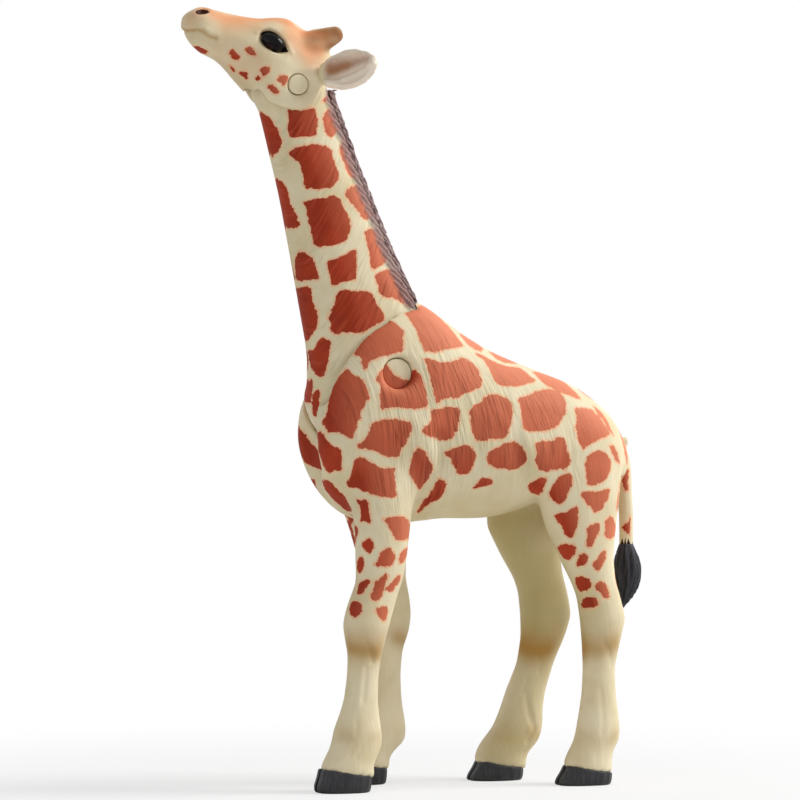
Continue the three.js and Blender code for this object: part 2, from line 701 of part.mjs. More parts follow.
function tailSolid(inflate) {
  const radius = TAIL_PEG_RADIUS + inflate;
  const peg = new THREE.CylinderGeometry(radius, radius, TAIL_PEG_LENGTH * 2, PEG_SEGMENTS)
    .rotateZ(Math.PI / 2)
    .translate(tailRoot.x, 0, tailRoot.z - TAIL_LENGTH * TAIL_PEG_DOWN_SHARE);
  const hanging = hangingLoft(TAIL_SHARES, TAIL_LENGTH, TAIL_DIAMETER, tailRoot.x, tailRoot.z, inflate);
  return hanging.add(solid(peg));
}

function tuftSolid() {
  const top = TAIL_SHARES[TAIL_SHARES.length - 1];
  const x = tailRoot.x + top[1] * TAIL_LENGTH;
  const z = tailRoot.z - TAIL_LENGTH - CLEARANCE;
  return hangingLoft(TUFT_SHARES, TUFT_LENGTH, TUFT_DIAMETER, x, z);
}

// Neck, in its own frame: the lower pivot at the origin, +Z up the neck and -X the throat side
function neckSections(inflate, steps, segments) {
  return smoothStations(NECK_SHARES, steps).map(([along, front, back, halfWidth, squareness]) => {
    const low = front * NECK_DEPTH - inflate;
    const high = back * NECK_DEPTH + inflate;
    const middle = (low + high) / 2;
    const shape = {
      halfWidth: (high - low) / 2,
      upper: (halfWidth * NECK_WIDTH) / 2 + inflate,
      lower: (halfWidth * NECK_WIDTH) / 2 + inflate,
      squareness,
      segments,
    };
    return section(shape, (across, up) => [middle + across, up, along * NECK_LENGTH]);
  });
}

// The neck above its foot.
function neckShape(inflate) {
  return loft(neckSections(inflate, 2, NECK_SEGMENTS));
}

function neckSolid() {
  const disc = puck(discProfile(NECK_DISC_RADIUS, 0), 0, 0);
  const front = solid(geometryOf(breast(0, 0, 0)).rotateY(NECK_LEAN));
  const tongueProfile = [
    [HEAD_TONGUE_RADIUS - TONGUE_ROUND, HEAD_TONGUE_WIDTH / 2],
    [HEAD_TONGUE_RADIUS, HEAD_TONGUE_WIDTH / 2 - TONGUE_ROUND],
  ];
  const tongue = puck(tongueProfile, 0, NECK_LENGTH);
  return neckShape(0)
    .add(disc)
    .add(front)
    .add(tongue)
    .subtract(crossPin(NECK_PIN_RADIUS + CLEARANCE, OVERRUN, 0, 0))
    .subtract(crossPin(HEAD_PIN_RADIUS + CLEARANCE, OVERRUN, 0, NECK_LENGTH));
}

// A band of hair along the back of the neck, with toothed edges.
function maneSolid() {
  const count = MANE_LOCKS * 2;
  const rings = [];
  for (let i = 0; i <= count; i += 1) {
    const t = i / count;
    const along = MANE_FOOT_SHARE + (MANE_TOP_SHARE - MANE_FOOT_SHARE) * t;
    const tooth = i % 2 === 0 ? 1 : MANE_TOOTH_SHARE;
    const narrowing = 1 - (1 - MANE_TOP_WIDTH_SHARE) * t;
    const shape = {
      halfWidth: NECK_DEPTH * MANE_REACH_SHARE,
      upper: (MANE_WIDTH / 2) * narrowing * tooth,
      lower: (MANE_WIDTH / 2) * narrowing * tooth,
      squareness: MANE_SQUARENESS,
      segments: MANE_SEGMENTS,
    };
    const middle = NECK_DEPTH * MANE_REACH_SHARE;
    rings.push(section(shape, (across, up) => [middle + across, up, along * NECK_LENGTH]));
  }
  const roomProfile = [[HEAD_TONGUE_RADIUS + CLEARANCE, HEAD_TONGUE_WIDTH / 2 + CLEARANCE]];
  const tongueRoom = puck(roomProfile, 0, NECK_LENGTH);
  return neckShape(MANE_HEIGHT).intersect(loft(rings)).subtract(neckShape(CLEARANCE)).subtract(tongueRoom);
}

// Head, in its own frame: the pivot at the origin, -X towards the nose and +Z the crown
const alongHead = (share) => -share * HEAD_LENGTH;
const upHead = (share) => share * HEAD_LENGTH;

function skull(inflate) {
  const rings = smoothStations(HEAD_SHARES, 2).map(([along, top, bottom, halfWidth, jaw]) => {
    const high = upHead(top) + inflate;
    const low = upHead(bottom) - inflate;
    const middle = low + (high - low) * HEAD_WIDEST_SHARE;
    const shape = {
      halfWidth: (halfWidth * HEAD_WIDTH) / 2 + inflate,
      upper: high - middle,
      lower: middle - low,
      squareness: HEAD_SQUARENESS,
      lowerSquareness: jaw,
      segments: SKULL_SEGMENTS,
    };
    return section(shape, (across, up) => [alongHead(along), across, middle + up]);
  });
  return loft(rings);
}

function horn(side) {
  const half = HORN_DIAMETER / 2;
  const outline = HORN_SHARES.map(([up, out]) => new THREE.Vector2(half * out, HORN_LENGTH * up));
  const along = new THREE.Vector3(HORN_AIM[0], side * HORN_AIM[1], HORN_AIM[2]).normalize();
  const turn = new THREE.Quaternion().setFromUnitVectors(new THREE.Vector3(0, 1, 0), along);
  const geometry = new THREE.LatheGeometry(outline, HORN_SEGMENTS)
    .applyQuaternion(turn)
    .translate(alongHead(HORN_ALONG_SHARE), side * HEAD_WIDTH * HORN_OUT_SHARE, upHead(HORN_UP_SHARE));
  return solid(geometry);
}

// A point or a direction of the head, from its share along, out to one side, and up.
function headSpot([along, out, up], side) {
  return new THREE.Vector3(alongHead(along), side * out * HEAD_WIDTH, upHead(up));
}

function aimed([x, y, z], side) {
  return new THREE.Vector3(x, side * y, z).normalize();
}

function eyeSolid(side, inflate) {
  const sizes = [EYE_LENGTH, EYE_HEIGHT, EYE_BULGE].map((size) => size / 2 + inflate);
  const centre = headSpot(EYE_SPOT, side);
  return ellipsoid(sizes, aimed(EYE_ALONG, side), aimed(EYE_FACING, side), centre, EYE_SEGMENTS);
}

// A cupped leaf that stands out sideways from the cheek, on a short stem.
function earSolid(side, cutter) {
  const along = aimed(EAR_ALONG, side);
  const facing = aimed(EAR_FACING, side);
  const flat = facing.clone().addScaledVector(along, -facing.dot(along)).normalize();
  const centre = headSpot(EAR_SPOT, side).addScaledVector(along, EAR_LENGTH / 2);
  const hollowCentre = centre
    .clone()
    .addScaledVector(flat, EAR_THICKNESS * EAR_HOLLOW_FORWARD)
    .addScaledVector(along, EAR_LENGTH * EAR_HOLLOW_OUT);
  const sizes = [EAR_LENGTH / 2, EAR_WIDTH / 2, EAR_THICKNESS / 2];
  const hollowSizes = sizes.map((size, i) => size * EAR_HOLLOW_SHARES[i]);
  const leaf = ellipsoid(sizes, along, facing, centre, EAR_SEGMENTS);
  const hollow = ellipsoid(hollowSizes, along, facing, hollowCentre, EAR_SEGMENTS);
  return leaf.subtract(hollow).subtract(cutter);
}

// The line of the lips, as deep as the lips are thick, on both sides of the muzzle.
function mouth() {
  const upper = MOUTH_SHARES.map(([along, up]) => [alongHead(along), upHead(up) + MOUTH_GAP / 2]);
  const lower = MOUTH_SHARES.map(([along, up]) => [alongHead(along), upHead(up) - MOUTH_GAP / 2]).reverse();
  return slab([...upper, ...lower], OVERRUN).subtract(skull(-LIP_DEPTH));
}

function nostril(side) {
  const sizes = NOSTRIL_SHARES.map((share) => NOSTRIL_LENGTH * share);
  const centre = headSpot(NOSTRIL_SPOT, side);
  return ellipsoid(sizes, aimed(NOSTRIL_ALONG, side), aimed(NOSTRIL_FACING, side), centre, NOSTRIL_SEGMENTS);
}

// The groove under the jaw that the throat enters as the head nods.
function throatGroove() {
  let groove = null;
  for (let i = 1; i <= GROOVE_STEPS; i += 1) {
    const nod = (HEAD_TRAVEL * i) / GROOVE_STEPS;
    const turned = geometryOf(loft(neckSections(CLEARANCE, 1, GROOVE_SEGMENTS)))
      .translate(0, 0, -NECK_LENGTH)
      .rotateY(nod - NECK_LEAN - HEAD_PITCH);
    groove = groove ? groove.add(solid(turned)) : solid(turned);
  }
  return groove.intersect(box(OVERRUN, HEAD_TONGUE_WIDTH + CLEARANCE * 4, OVERRUN, 0, 0, 0));
}

function headSolid() {
  const cavityRadius = HEAD_TONGUE_RADIUS + CLEARANCE * 2;
  const cavityHalf = HEAD_TONGUE_WIDTH / 2 + CLEARANCE;
  const cheekHalf = (HEAD_WIDTH / 2) * CHEEK_WIDTH_SHARE;
  const cheekProfile = [
    [CHEEK_RADIUS - CHEEK_ROUND, cheekHalf],
    [CHEEK_RADIUS, cheekHalf - CHEEK_ROUND],
  ];
  const cheeks = puck(cheekProfile, 0, 0);
  let made = skull(0).add(cheeks).add(horn(-1)).add(horn(1)).subtract(mouth());
  [-1, 1].forEach((side) => {
    made = made.subtract(eyeSolid(side, CLEARANCE)).subtract(nostril(side));
  });
  return made
    .subtract(puck([[cavityRadius, cavityHalf]], 0, 0))
    .subtract(throatGroove())
    .subtract(crossPin(HEAD_PIN_RADIUS + CLEARANCE, OVERRUN, 0, 0));
}

// Assembly

const root = new THREE.Group();
const halves = bodyHalves();
root.add(piece("body_left", halves.left, cream));
root.add(piece("body_right", halves.right, cream));
legSpots.forEach((spot) => {
  root.add(piece(`hoof_${spot.name}`, hoof(spot), hoofBlack));
});
root.add(piece("tail", tailSolid(0), cream));
root.add(piece("tail_tuft", tuftSolid(), tuftBlack));
root.add(piece("neck_pin", crossPin(NECK_PIN_RADIUS, NECK_PIN_LENGTH, neckPivot.x, neckPivot.z), paleCream));

const neckGroup = new THREE.Group();
neckGroup.position.set(neckPivot.x, 0, neckPivot.z);
neckGroup.rotation.y = -NECK_LEAN;
neckGroup.add(piece("neck", neckSolid(), cream));
neckGroup.add(piece("mane", maneSolid(), maneBrown));
root.add(neckGroup);

const headGroup = new THREE.Group();
headGroup.position.set(0, 0, NECK_LENGTH);
headGroup.rotation.y = NECK_LEAN + HEAD_PITCH;
headGroup.add(piece("head", headSolid(), cream));
headGroup.add(piece("head_pin", crossPin(HEAD_PIN_RADIUS, HEAD_PIN_LENGTH, 0, 0), paleCream));
const headSkin = skull(CLEARANCE);
headGroup.add(piece("ear_left", earSolid(-1, headSkin), earPink));
headGroup.add(piece("ear_right", earSolid(1, headSkin), earPink));
headGroup.add(piece("eye_left", eyeSolid(-1, 0), eyeBlack));
headGroup.add(piece("eye_right", eyeSolid(1, 0), eyeBlack));
neckGroup.add(headGroup);

// The origin is under the middle of the figure, on the surface that it stands on.
root.updateMatrixWorld(true);
const extent = new THREE.Box3().setFromObject(root, true);
const middle = extent.getCenter(new THREE.Vector3());
root.position.set(-middle.x, -middle.y, -extent.min.z);
root.updateMatrixWorld(true);

const pivots = { neck_pivot: neckGroup, head_pivot: headGroup };
Object.entries(pivots).forEach(([name, group]) => {
  const place = group.getWorldPosition(new THREE.Vector3());
  console.log(name, place.toArray().map((value) => value.toFixed(3)).join(" "));
});

export default root;
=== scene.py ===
# %% [markdown]
# # A jointed toy giraffe
# The real toy is moulded vinyl: two body halves are pressed together round a disc on the
# neck's foot, and the head rocks on a small pin in the top of the neck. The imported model
# gives every solid in its true place, in metres, so this script only dresses those solids
# and never moves them. Sizes in this file are millimetres, as on a maker's drawing, and
# one value turns them into Blender's metres.

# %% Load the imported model
import math
import bpy
import numpy as np
from mathutils import Matrix, Vector
from mathutils.bvhtree import BVHTree


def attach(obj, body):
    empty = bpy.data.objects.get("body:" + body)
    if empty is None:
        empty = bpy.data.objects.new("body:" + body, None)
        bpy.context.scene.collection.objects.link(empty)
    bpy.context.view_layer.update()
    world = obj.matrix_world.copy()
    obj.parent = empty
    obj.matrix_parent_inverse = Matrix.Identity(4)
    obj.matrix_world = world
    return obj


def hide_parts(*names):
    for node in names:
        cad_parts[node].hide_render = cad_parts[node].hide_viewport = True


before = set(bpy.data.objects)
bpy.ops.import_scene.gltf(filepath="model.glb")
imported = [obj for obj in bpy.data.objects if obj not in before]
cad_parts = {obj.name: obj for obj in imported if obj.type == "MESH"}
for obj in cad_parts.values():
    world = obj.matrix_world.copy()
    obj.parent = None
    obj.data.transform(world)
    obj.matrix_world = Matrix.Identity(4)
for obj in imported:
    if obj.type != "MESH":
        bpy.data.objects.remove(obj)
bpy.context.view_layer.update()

# %% [markdown]
# ## The camera
# The photograph was taken from a little in front of the toy's left side, almost level with
# it, through a long lens. A camera is three things: the point it looks at, the direction
# back from that point to the lens, and a focal length, which follows here from how many
# millimetres of the toy one pixel covers.

# %% Camera
MM = 0.001
PHOTO_PIXELS = 800
PIXEL = 0.1646
CAMERA_TURN = math.radians(-20)
CAMERA_RISE = math.radians(1)
CAMERA_DISTANCE = 900
LOOK_AT = np.array([-2.6, 0, 63.7])
SENSOR = 36


def add_object(name, data):
    """Puts a new object in the scene, at the origin."""
    made = bpy.data.objects.new(name, data)
    bpy.context.collection.objects.link(made)
    return made


back = np.array([math.sin(CAMERA_TURN) * math.cos(CAMERA_RISE),
                 -math.cos(CAMERA_TURN) * math.cos(CAMERA_RISE),
                 math.sin(CAMERA_RISE)])
right = np.array([math.cos(CAMERA_TURN), math.sin(CAMERA_TURN), 0])
up = np.cross(back, right)
eye_point = LOOK_AT + back * CAMERA_DISTANCE

camera_data = bpy.data.cameras.new("photo_camera")
camera_data.sensor_width = SENSOR
camera_data.lens = SENSOR * CAMERA_DISTANCE / (PIXEL * PHOTO_PIXELS)
camera = add_object("photo_camera", camera_data)
camera.location = Vector(eye_point * MM)
camera.rotation_euler = Vector(-back).to_track_quat("-Z", "Y").to_euler()
bpy.context.scene.camera = camera
print("lens", round(camera_data.lens, 1), "mm")

# %% [markdown]
# ## Clay: a dense copy of a solid
# A CAD solid has only the few flat faces that its shape needs. Painted fur and soft muscle
# need many small ones, so each moulded piece starts as a copy of its solid, turned into an
# even grid of small squares by the Remesh modifier. The points then live in a NumPy array,
# where smoothing and sculpting are plain sums over the whole surface at once. A few rounds
# of smoothing take off the grid's steps; the seam between the body halves is kept.

# %% Clay
PAINT_FAR = -3.0
WELD_REACH = 0.002
SMOOTHING = 0.5
TINY = 1e-9


def unit(rows):
    """Rows of vectors, each made one long."""
    return rows / np.maximum(np.linalg.norm(rows, axis=-1, keepdims=True), TINY)


def merged_copy(node):
    """A copy of a CAD node's mesh in millimetres, with its loose triangles joined."""
    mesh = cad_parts[node].data.copy()
    mesh.materials.clear()
    copy = add_object(node + "_copy", mesh)
    mesh.transform(Matrix.Scale(1 / MM, 4))
    weld = copy.modifiers.new("weld", "WELD")
    weld.merge_threshold = WELD_REACH
    return copy


class Clay:
    """A dense, paintable copy of a CAD solid. Its points are in millimetres."""

    def __init__(self, node, voxel, rounds):
        copy = merged_copy(node)
        remesh = copy.modifiers.new("voxels", "REMESH")
        remesh.mode = "VOXEL"
        remesh.voxel_size = voxel
        graph = bpy.context.evaluated_depsgraph_get()
        mesh = bpy.data.meshes.new_from_object(copy.evaluated_get(graph))
        self.node = node
        self.points = np.empty(len(mesh.vertices) * 3)
        mesh.vertices.foreach_get("co", self.points)
        self.points = self.points.reshape(-1, 3)
        self.edges = np.empty(len(mesh.edges) * 2, int)
        mesh.edges.foreach_get("vertices", self.edges)
        self.edges = self.edges.reshape(-1, 2)
        self.faces = np.array([face.vertices[:] for face in mesh.polygons])
        self.links = np.bincount(self.edges.ravel(), minlength=len(self.points))
        self.paint = {}
        self.search = None
        bpy.data.objects.remove(copy)
        self.smooth(rounds)

    def normals(self):
        """The outward direction at every point."""
        corners = self.points[self.faces]
        flat = np.cross(corners[:, 2] - corners[:, 0], corners[:, 3] - corners[:, 1])
        return unit(self.gather(self.faces, np.repeat(flat[:, None], 4, axis=1)))

    def gather(self, owners, rows):
        """Adds up rows of vectors at the points that own them."""
        owners = owners.ravel()
        rows = rows.reshape(-1, 3)
        sums = [np.bincount(owners, rows[:, axis], len(self.points)) for axis in range(3)]
        return np.stack(sums, axis=1)

    def smooth(self, rounds, mask=1.0):
        """Moves every point towards the middle of its neighbours, again and again."""
        share = np.broadcast_to(SMOOTHING * mask, len(self.points))[:, None]
        for _ in range(rounds):
            ends = self.points[self.edges[:, ::-1]]
            middle = self.gather(self.edges, ends) / self.links[:, None]
            self.points += (middle - self.points) * share

    def spread(self, values, rounds):
        """Blurs one number per point over the surface."""
        for _ in range(rounds):
            ends = values[self.edges[:, ::-1]]
            values = np.bincount(self.edges.ravel(), ends.ravel(), len(values)) / self.links
        return values

    def tree(self):
        """A search tree for rays and nearest points, made when it is first needed."""
        if self.search is None:
            self.search = BVHTree.FromPolygons(self.points.tolist(), self.faces.tolist())
        return self.search


BODY_VOXEL = 0.32
HEAD_VOXEL = 0.2
SEAM_KEPT = 0.25
SEAM_BLEND = 1.1
coat_left = Clay("body_left", BODY_VOXEL, rounds=6)
coat_right = Clay("body_right", BODY_VOXEL, rounds=6)
neck = Clay("neck", BODY_VOXEL, rounds=30)
head = Clay("head", HEAD_VOXEL, rounds=30)
COATS = (coat_left, coat_right, neck, head)
for clay in (coat_left, coat_right):
    off_seam = np.clip((np.abs(clay.points[:, 1]) - SEAM_KEPT) / SEAM_BLEND, 0, 1)
    clay.smooth(rounds=26, mask=off_seam)
for clay in COATS:
    print(clay.node, len(clay.faces), "squares")

# %% [markdown]
# ## Closing the seams again
# Smoothing rounds every edge, so it opens a gutter between the two body halves and a gap
# over each hoof. On the toy both are tight. The points beside the middle plane are drawn
# back to it, and the rim of each leg is drawn down over its hoof in a slightly ragged line.

# %% Seams and leg rims
SEAM_GAP = 0.03
SEAM_ROUNDING = 0.15
SEAM_REACH = 1.2
FORE_HOOF_TOP = 3.5
HIND_HOOF_TOP = 2.9
LEFT_FEET = ((-14.28, FORE_HOOF_TOP), (27.95, HIND_HOOF_TOP))
RIGHT_FEET = ((-6.72, FORE_HOOF_TOP), (17.5, HIND_HOOF_TOP))
HOOF_SLOPE = math.tan(math.radians(9))
LEG_OUT = 6.8
LEG_HALF_LENGTH = 8
RIM_TOP = 3
RIM_REACH = 0.95
RIM_DROP = 0.62
RIM_RAG = 0.12
RIM_TEETH = 19
RIM_SPREAD = 0.09


def close_seam(clay, side):
    """Draws the edge of a body half back to the middle plane."""
    depth = clay.points[:, 1] * side
    scale = (SEAM_REACH - SEAM_GAP) / (SEAM_REACH - SEAM_ROUNDING)
    drawn = SEAM_GAP + (depth - SEAM_ROUNDING) * scale
    drawn = np.where(depth < SEAM_ROUNDING, depth * SEAM_GAP / SEAM_ROUNDING, drawn)
    near = (depth > 0) & (depth < SEAM_REACH)
    clay.points[near, 1] = drawn[near] * side


def drop_rim(clay, foot, hoof_top, side):
    """Draws the lower rim of one leg down over its hoof."""
    away = clay.points - [foot, LEG_OUT * side, 0]
    above = away[:, 2] - hoof_top + away[:, 0] * HOOF_SLOPE
    near = (np.abs(away[:, 0]) < LEG_HALF_LENGTH) & (above < RIM_TOP)
    share = np.exp(-(above / RIM_REACH) ** 2) * near
    turn = np.arctan2(away[:, 1], away[:, 0])
    rag = RIM_RAG * np.sin(turn * RIM_TEETH + 3 * np.sin(turn * 4))
    clay.points[:, 2] -= share * (RIM_DROP + rag)
    clay.points[:, :2] += away[:, :2] * (share * RIM_SPREAD)[:, None]


for clay, side, feet in ((coat_left, -1, LEFT_FEET), (coat_right, 1, RIGHT_FEET)):
    close_seam(clay, side)
    for foot, hoof_top in feet:
        drop_rim(clay, foot, hoof_top, side)
    print(clay.node, "lowest coat point", round(clay.points[:, 2].min(), 2), "mm")

# %% [markdown]
# ## From the photograph to the surface
# Each painted patch was traced in the photograph as a few pixel positions. A ray from the
# lens through such a pixel meets the piece where the paint is, so the traces need no depth
# of their own. The right side isn't seen, and gets the left side's pattern mirrored: its
# legs stand elsewhere, so its points are first slid along to where the left leg would be.

# %% Rays through pixels
LEG_TOP = 44.0
FORE_SHIFT = 7.55
HIND_SHIFT = -10.5
LEG_DIVIDE = 8.0
SEARCH_STEPS = range(-12, 13, 2)


def ray_through(pixel):
    """The direction from the lens through a pixel of the photograph."""
    across = (pixel[0] - PHOTO_PIXELS / 2) * PIXEL / CAMERA_DISTANCE
    down = (pixel[1] - PHOTO_PIXELS / 2) * PIXEL / CAMERA_DISTANCE
    return unit(-back + right * across - up * down)


def hits(tree, pixels):
    """Where the rays through some pixels meet a piece, with the surface's direction there."""
    found = []
    for pixel in pixels:
        ray = ray_through(pixel)
        place, normal, _, _ = tree.ray_cast(Vector(eye_point), Vector(ray))
        if place is None:
            nearest = [tree.find_nearest(Vector(eye_point + ray * (CAMERA_DISTANCE + step)))
                       for step in SEARCH_STEPS]
            place, normal, _, _ = min(nearest, key=lambda hit: hit[3])
        found.append((np.array(place), np.array(normal)))
    places, normals = zip(*found)
    return np.array(places), np.array(normals)


def pixels_of(points):
    """Where the camera sees some points, in pixels of the photograph."""
    away = points - eye_point
    depth = -(away @ back)
    across = away @ right * CAMERA_DISTANCE / (PIXEL * depth) + PHOTO_PIXELS / 2
    down = PHOTO_PIXELS / 2 - away @ up * CAMERA_DISTANCE / (PIXEL * depth)
    return np.stack([across, down], axis=1)


def leg_slide(points):
    """How far a right leg stands from its left twin, along the toy, at each point."""
    share = np.clip(1 - points[:, 2] / LEG_TOP, 0, 1)
    return share * np.where(points[:, 0] < LEG_DIVIDE, FORE_SHIFT, HIND_SHIFT)


def on_left_side(points, normals, slide_legs=False):
    """The same points and directions as they would be on the left side."""
    points = points.copy()
    normals = normals.copy()
    flip = points[:, 1] > 0
    if slide_legs:
        points[:, 0] -= leg_slide(points) * flip
    points[flip, 1] *= -1
    normals[flip, 1] *= -1
    return points, normals


def folded(clay, slide_legs=False):
    """A piece's points and directions, all on the left side."""
    return on_left_side(clay.points, clay.normals(), slide_legs)


# %% [markdown]
# ## Patches as signed distances
# A patch could be a picture, but a number per point does the job with no picture at all:
# how far the point lies inside the patch's outline, negative outside it. Between points
# the number runs evenly, so the painted edge stays sharp however coarse the grid is, and
# the material can move it in and out to make the ragged edge that a stencil leaves.

# %% Signed distances
CORNER_CUT = 0.16
PATCH_REACH = 3.0
PATCH_DEPTH = 7.0
FACING_LEAST = 0.05
NEARLY_UP = (0.01, 0.02, 1.0)


def rounded(outline):
    """An outline with each corner cut once, as a soft mask leaves it."""
    after = np.roll(outline, -1, axis=0)
    near = outline + (after - outline) * CORNER_CUT
    far = after - (after - outline) * CORNER_CUT
    return np.stack([near, far], axis=1).reshape(-1, outline.shape[1])


def inside_distance(spots, outline):
    """How deep flat spots lie inside an outline; outside it the number is negative."""
    start = outline
    along = np.roll(outline, -1, axis=0) - start
    toward = spots[:, None] - start[None]
    share = np.clip((toward * along).sum(-1) / (along ** 2).sum(-1), 0, 1)
    distance = np.linalg.norm(toward - share[..., None] * along, axis=-1).min(axis=1)
    height = spots[:, None, 1]
    rises = (start[:, 1] > height) != (start[:, 1] + along[:, 1] > height)
    slope = np.where(along[:, 1] == 0, TINY, along[:, 1])
    edge = start[:, 0] + (height - start[:, 1]) / slope * along[:, 0]
    inside = (rises & (spots[:, None, 0] < edge)).sum(axis=1) % 2 == 1
    return np.where(inside, distance, -distance)


class Patch:
    """A closed outline laid on a piece, kept in the plane that touches its middle."""

    def __init__(self, places, normals):
        self.middle = places.mean(axis=0)
        self.out = unit(normals.mean(axis=0))
        self.across = unit(np.cross(NEARLY_UP, self.out))
        self.along = np.cross(self.out, self.across)
        self.outline = rounded(self.flat(places))
        self.reach = np.linalg.norm(self.outline, axis=1).max() + PATCH_REACH

    def flat(self, points):
        """Where points fall in the patch's own plane."""
        away = points - self.middle
        return np.stack([away @ self.across, away @ self.along], axis=1)

    def mark(self, values, points, normals):
        """Raises the values of the points that this patch covers or comes near."""
        away = points - self.middle
        near = np.linalg.norm(away, axis=1) < self.reach + PATCH_REACH
        near &= np.abs(away @ self.out) < PATCH_DEPTH
        near &= normals @ self.out > FACING_LEAST
        found = np.flatnonzero(near)
        if len(found):
            depth = inside_distance(self.flat(points[found]), self.outline)
            values[found] = np.maximum(values[found], depth)


def patches_on(clay, outlines):
    """The patches that some pixel outlines make on a piece."""
    tree = clay.tree()
    return [Patch(*hits(tree, outline)) for outline in outlines]


def paint_patches(clay, patches, slide_legs=False):
    """Stores how deep each point of a piece lies in any of the patches."""
    values = np.full(len(clay.points), PAINT_FAR)
    points, normals = folded(clay, slide_legs)
    for patch in patches:
        patch.mark(values, points, normals)
    clay.paint["patch"] = values


# %% [markdown]
# ## The traced patches
# These are the patches that the photograph shows, by region, each as pixel positions along
# its edge. Only the corners that give a patch its shape are kept.

# %% Patch outlines on the neck
NECK_PATCHES = [
    [(256, 110), (268, 115), (275, 124), (280, 134), (282, 142), (279, 150), (272, 158),
     (262, 140)],
    [(287, 109), (303, 111), (315, 107), (318, 122), (316, 136), (303, 136), (291, 138),
     (287, 130), (289, 120)],
    [(321, 101), (327, 94), (336, 90), (337, 99), (327, 102)],
    [(325, 111), (332, 108), (340, 112), (343, 128), (337, 131), (331, 138), (326, 134),
     (323, 120)],
    [(289, 151), (295, 147), (312, 144), (327, 146), (331, 150), (333, 160), (338, 172),
     (339, 180), (332, 187), (318, 189), (305, 189), (303, 176), (300, 163), (290, 156)],
    [(340, 133), (347, 134), (357, 160), (361, 174), (353, 180), (347, 172), (343, 160),
     (339, 152), (341, 143)],
    [(274, 176), (283, 182), (288, 190), (290, 203), (296, 215), (301, 226), (286, 229),
     (278, 200)],
    [(304, 202), (310, 200), (325, 198), (334, 195), (341, 200), (345, 210), (351, 222),
     (349, 236), (345, 242), (330, 246), (315, 247), (312, 235), (308, 218), (307, 208)],
    [(345, 196), (348, 188), (356, 185), (364, 188), (372, 203), (377, 217), (370, 219),
     (364, 219), (358, 211), (352, 203)],
    [(364, 232), (369, 228), (377, 234), (385, 252), (386, 261), (380, 266), (373, 270),
     (370, 266), (370, 255), (367, 243)],
    [(295, 256), (302, 250), (309, 255), (315, 262), (320, 279), (308, 280), (296, 281),
     (295, 268)],
    [(326, 261), (340, 258), (350, 251), (356, 250), (357, 265), (356, 280), (346, 281),
     (335, 286), (331, 284), (330, 275)],
    [(374, 275), (387, 269), (396, 274), (403, 285), (409, 298), (410, 308), (395, 298),
     (380, 297), (378, 287)],
    [(296, 288), (311, 286), (312, 300), (317, 313), (318, 325), (313, 333), (309, 340),
     (305, 343), (300, 325), (297, 305)],
    [(337, 292), (345, 290), (370, 292), (376, 302), (386, 318), (372, 327), (362, 333),
     (350, 333), (334, 334), (331, 331), (331, 322), (327, 318), (333, 308)],
    [(308, 351), (314, 350), (318, 341), (323, 338), (331, 341), (330, 352), (327, 368),
     (324, 376), (318, 377), (311, 368), (309, 360)],
    [(306, 380), (313, 380), (312, 392), (311, 403), (306, 402)],
    [(313, 394), (318, 389), (320, 392), (319, 405), (317, 417), (313, 416), (312, 405)],
]

# %% Patch outlines on the shoulder and chest
SHOULDER_PATCHES = [
    [(404, 313), (410, 311), (424, 305), (432, 309), (440, 318), (450, 329), (459, 340),
     (463, 345), (459, 348), (440, 350), (434, 353), (424, 351), (419, 338), (416, 330),
     (411, 322)],
    [(384, 320), (390, 320), (399, 326), (404, 331), (403, 352), (393, 353), (380, 357),
     (370, 361), (365, 370), (363, 368), (361, 357), (352, 355), (352, 352), (358, 344),
     (366, 336), (375, 328)],
    [(375, 379), (381, 372), (387, 369), (400, 375), (412, 370), (421, 374), (426, 390),
     (428, 407), (415, 409), (395, 407), (381, 410), (380, 396), (381, 385)],
    [(346, 368), (352, 373), (362, 379), (366, 386), (369, 397), (362, 409), (360, 418),
     (356, 428), (353, 438), (348, 437), (343, 435), (336, 432), (328, 432), (323, 424),
     (322, 421), (327, 414), (329, 397), (335, 382), (341, 375)],
    [(357, 445), (362, 442), (368, 435), (372, 423), (380, 420), (394, 419), (410, 421),
     (412, 426), (408, 439), (405, 445), (401, 450), (400, 455), (396, 458), (388, 457),
     (378, 452), (370, 449), (358, 448)],
    [(347, 483), (351, 475), (356, 458), (361, 457), (368, 461), (377, 466), (383, 469),
     (395, 468), (394, 474), (396, 490), (397, 495), (393, 498), (382, 497), (367, 492),
     (358, 489), (348, 487)],
    [(418, 447), (424, 451), (430, 461), (432, 468), (427, 480), (419, 489), (416, 487),
     (412, 479), (408, 474), (411, 462), (413, 453)],
    [(439, 478), (446, 482), (446, 488), (441, 498), (436, 501), (430, 503), (425, 508),
     (419, 513), (417, 512), (420, 506), (427, 499), (434, 489)],
    [(320, 479), (329, 480), (337, 488), (345, 497), (349, 505), (352, 511), (349, 512),
     (343, 508), (333, 499), (325, 489)],
]
CHEST_LEFT = [(320, 431), (325, 436), (328, 442), (335, 447), (342, 450), (342, 471), (336, 470),
              (330, 473), (325, 470), (321, 458), (318, 449), (316, 443), (317, 434)]
CHEST_RIGHT = [(299, 425), (304, 433), (310, 441), (316, 448), (320, 456), (324, 466), (324, 470),
               (313, 466), (306, 463), (301, 457), (298, 447), (298, 432)]

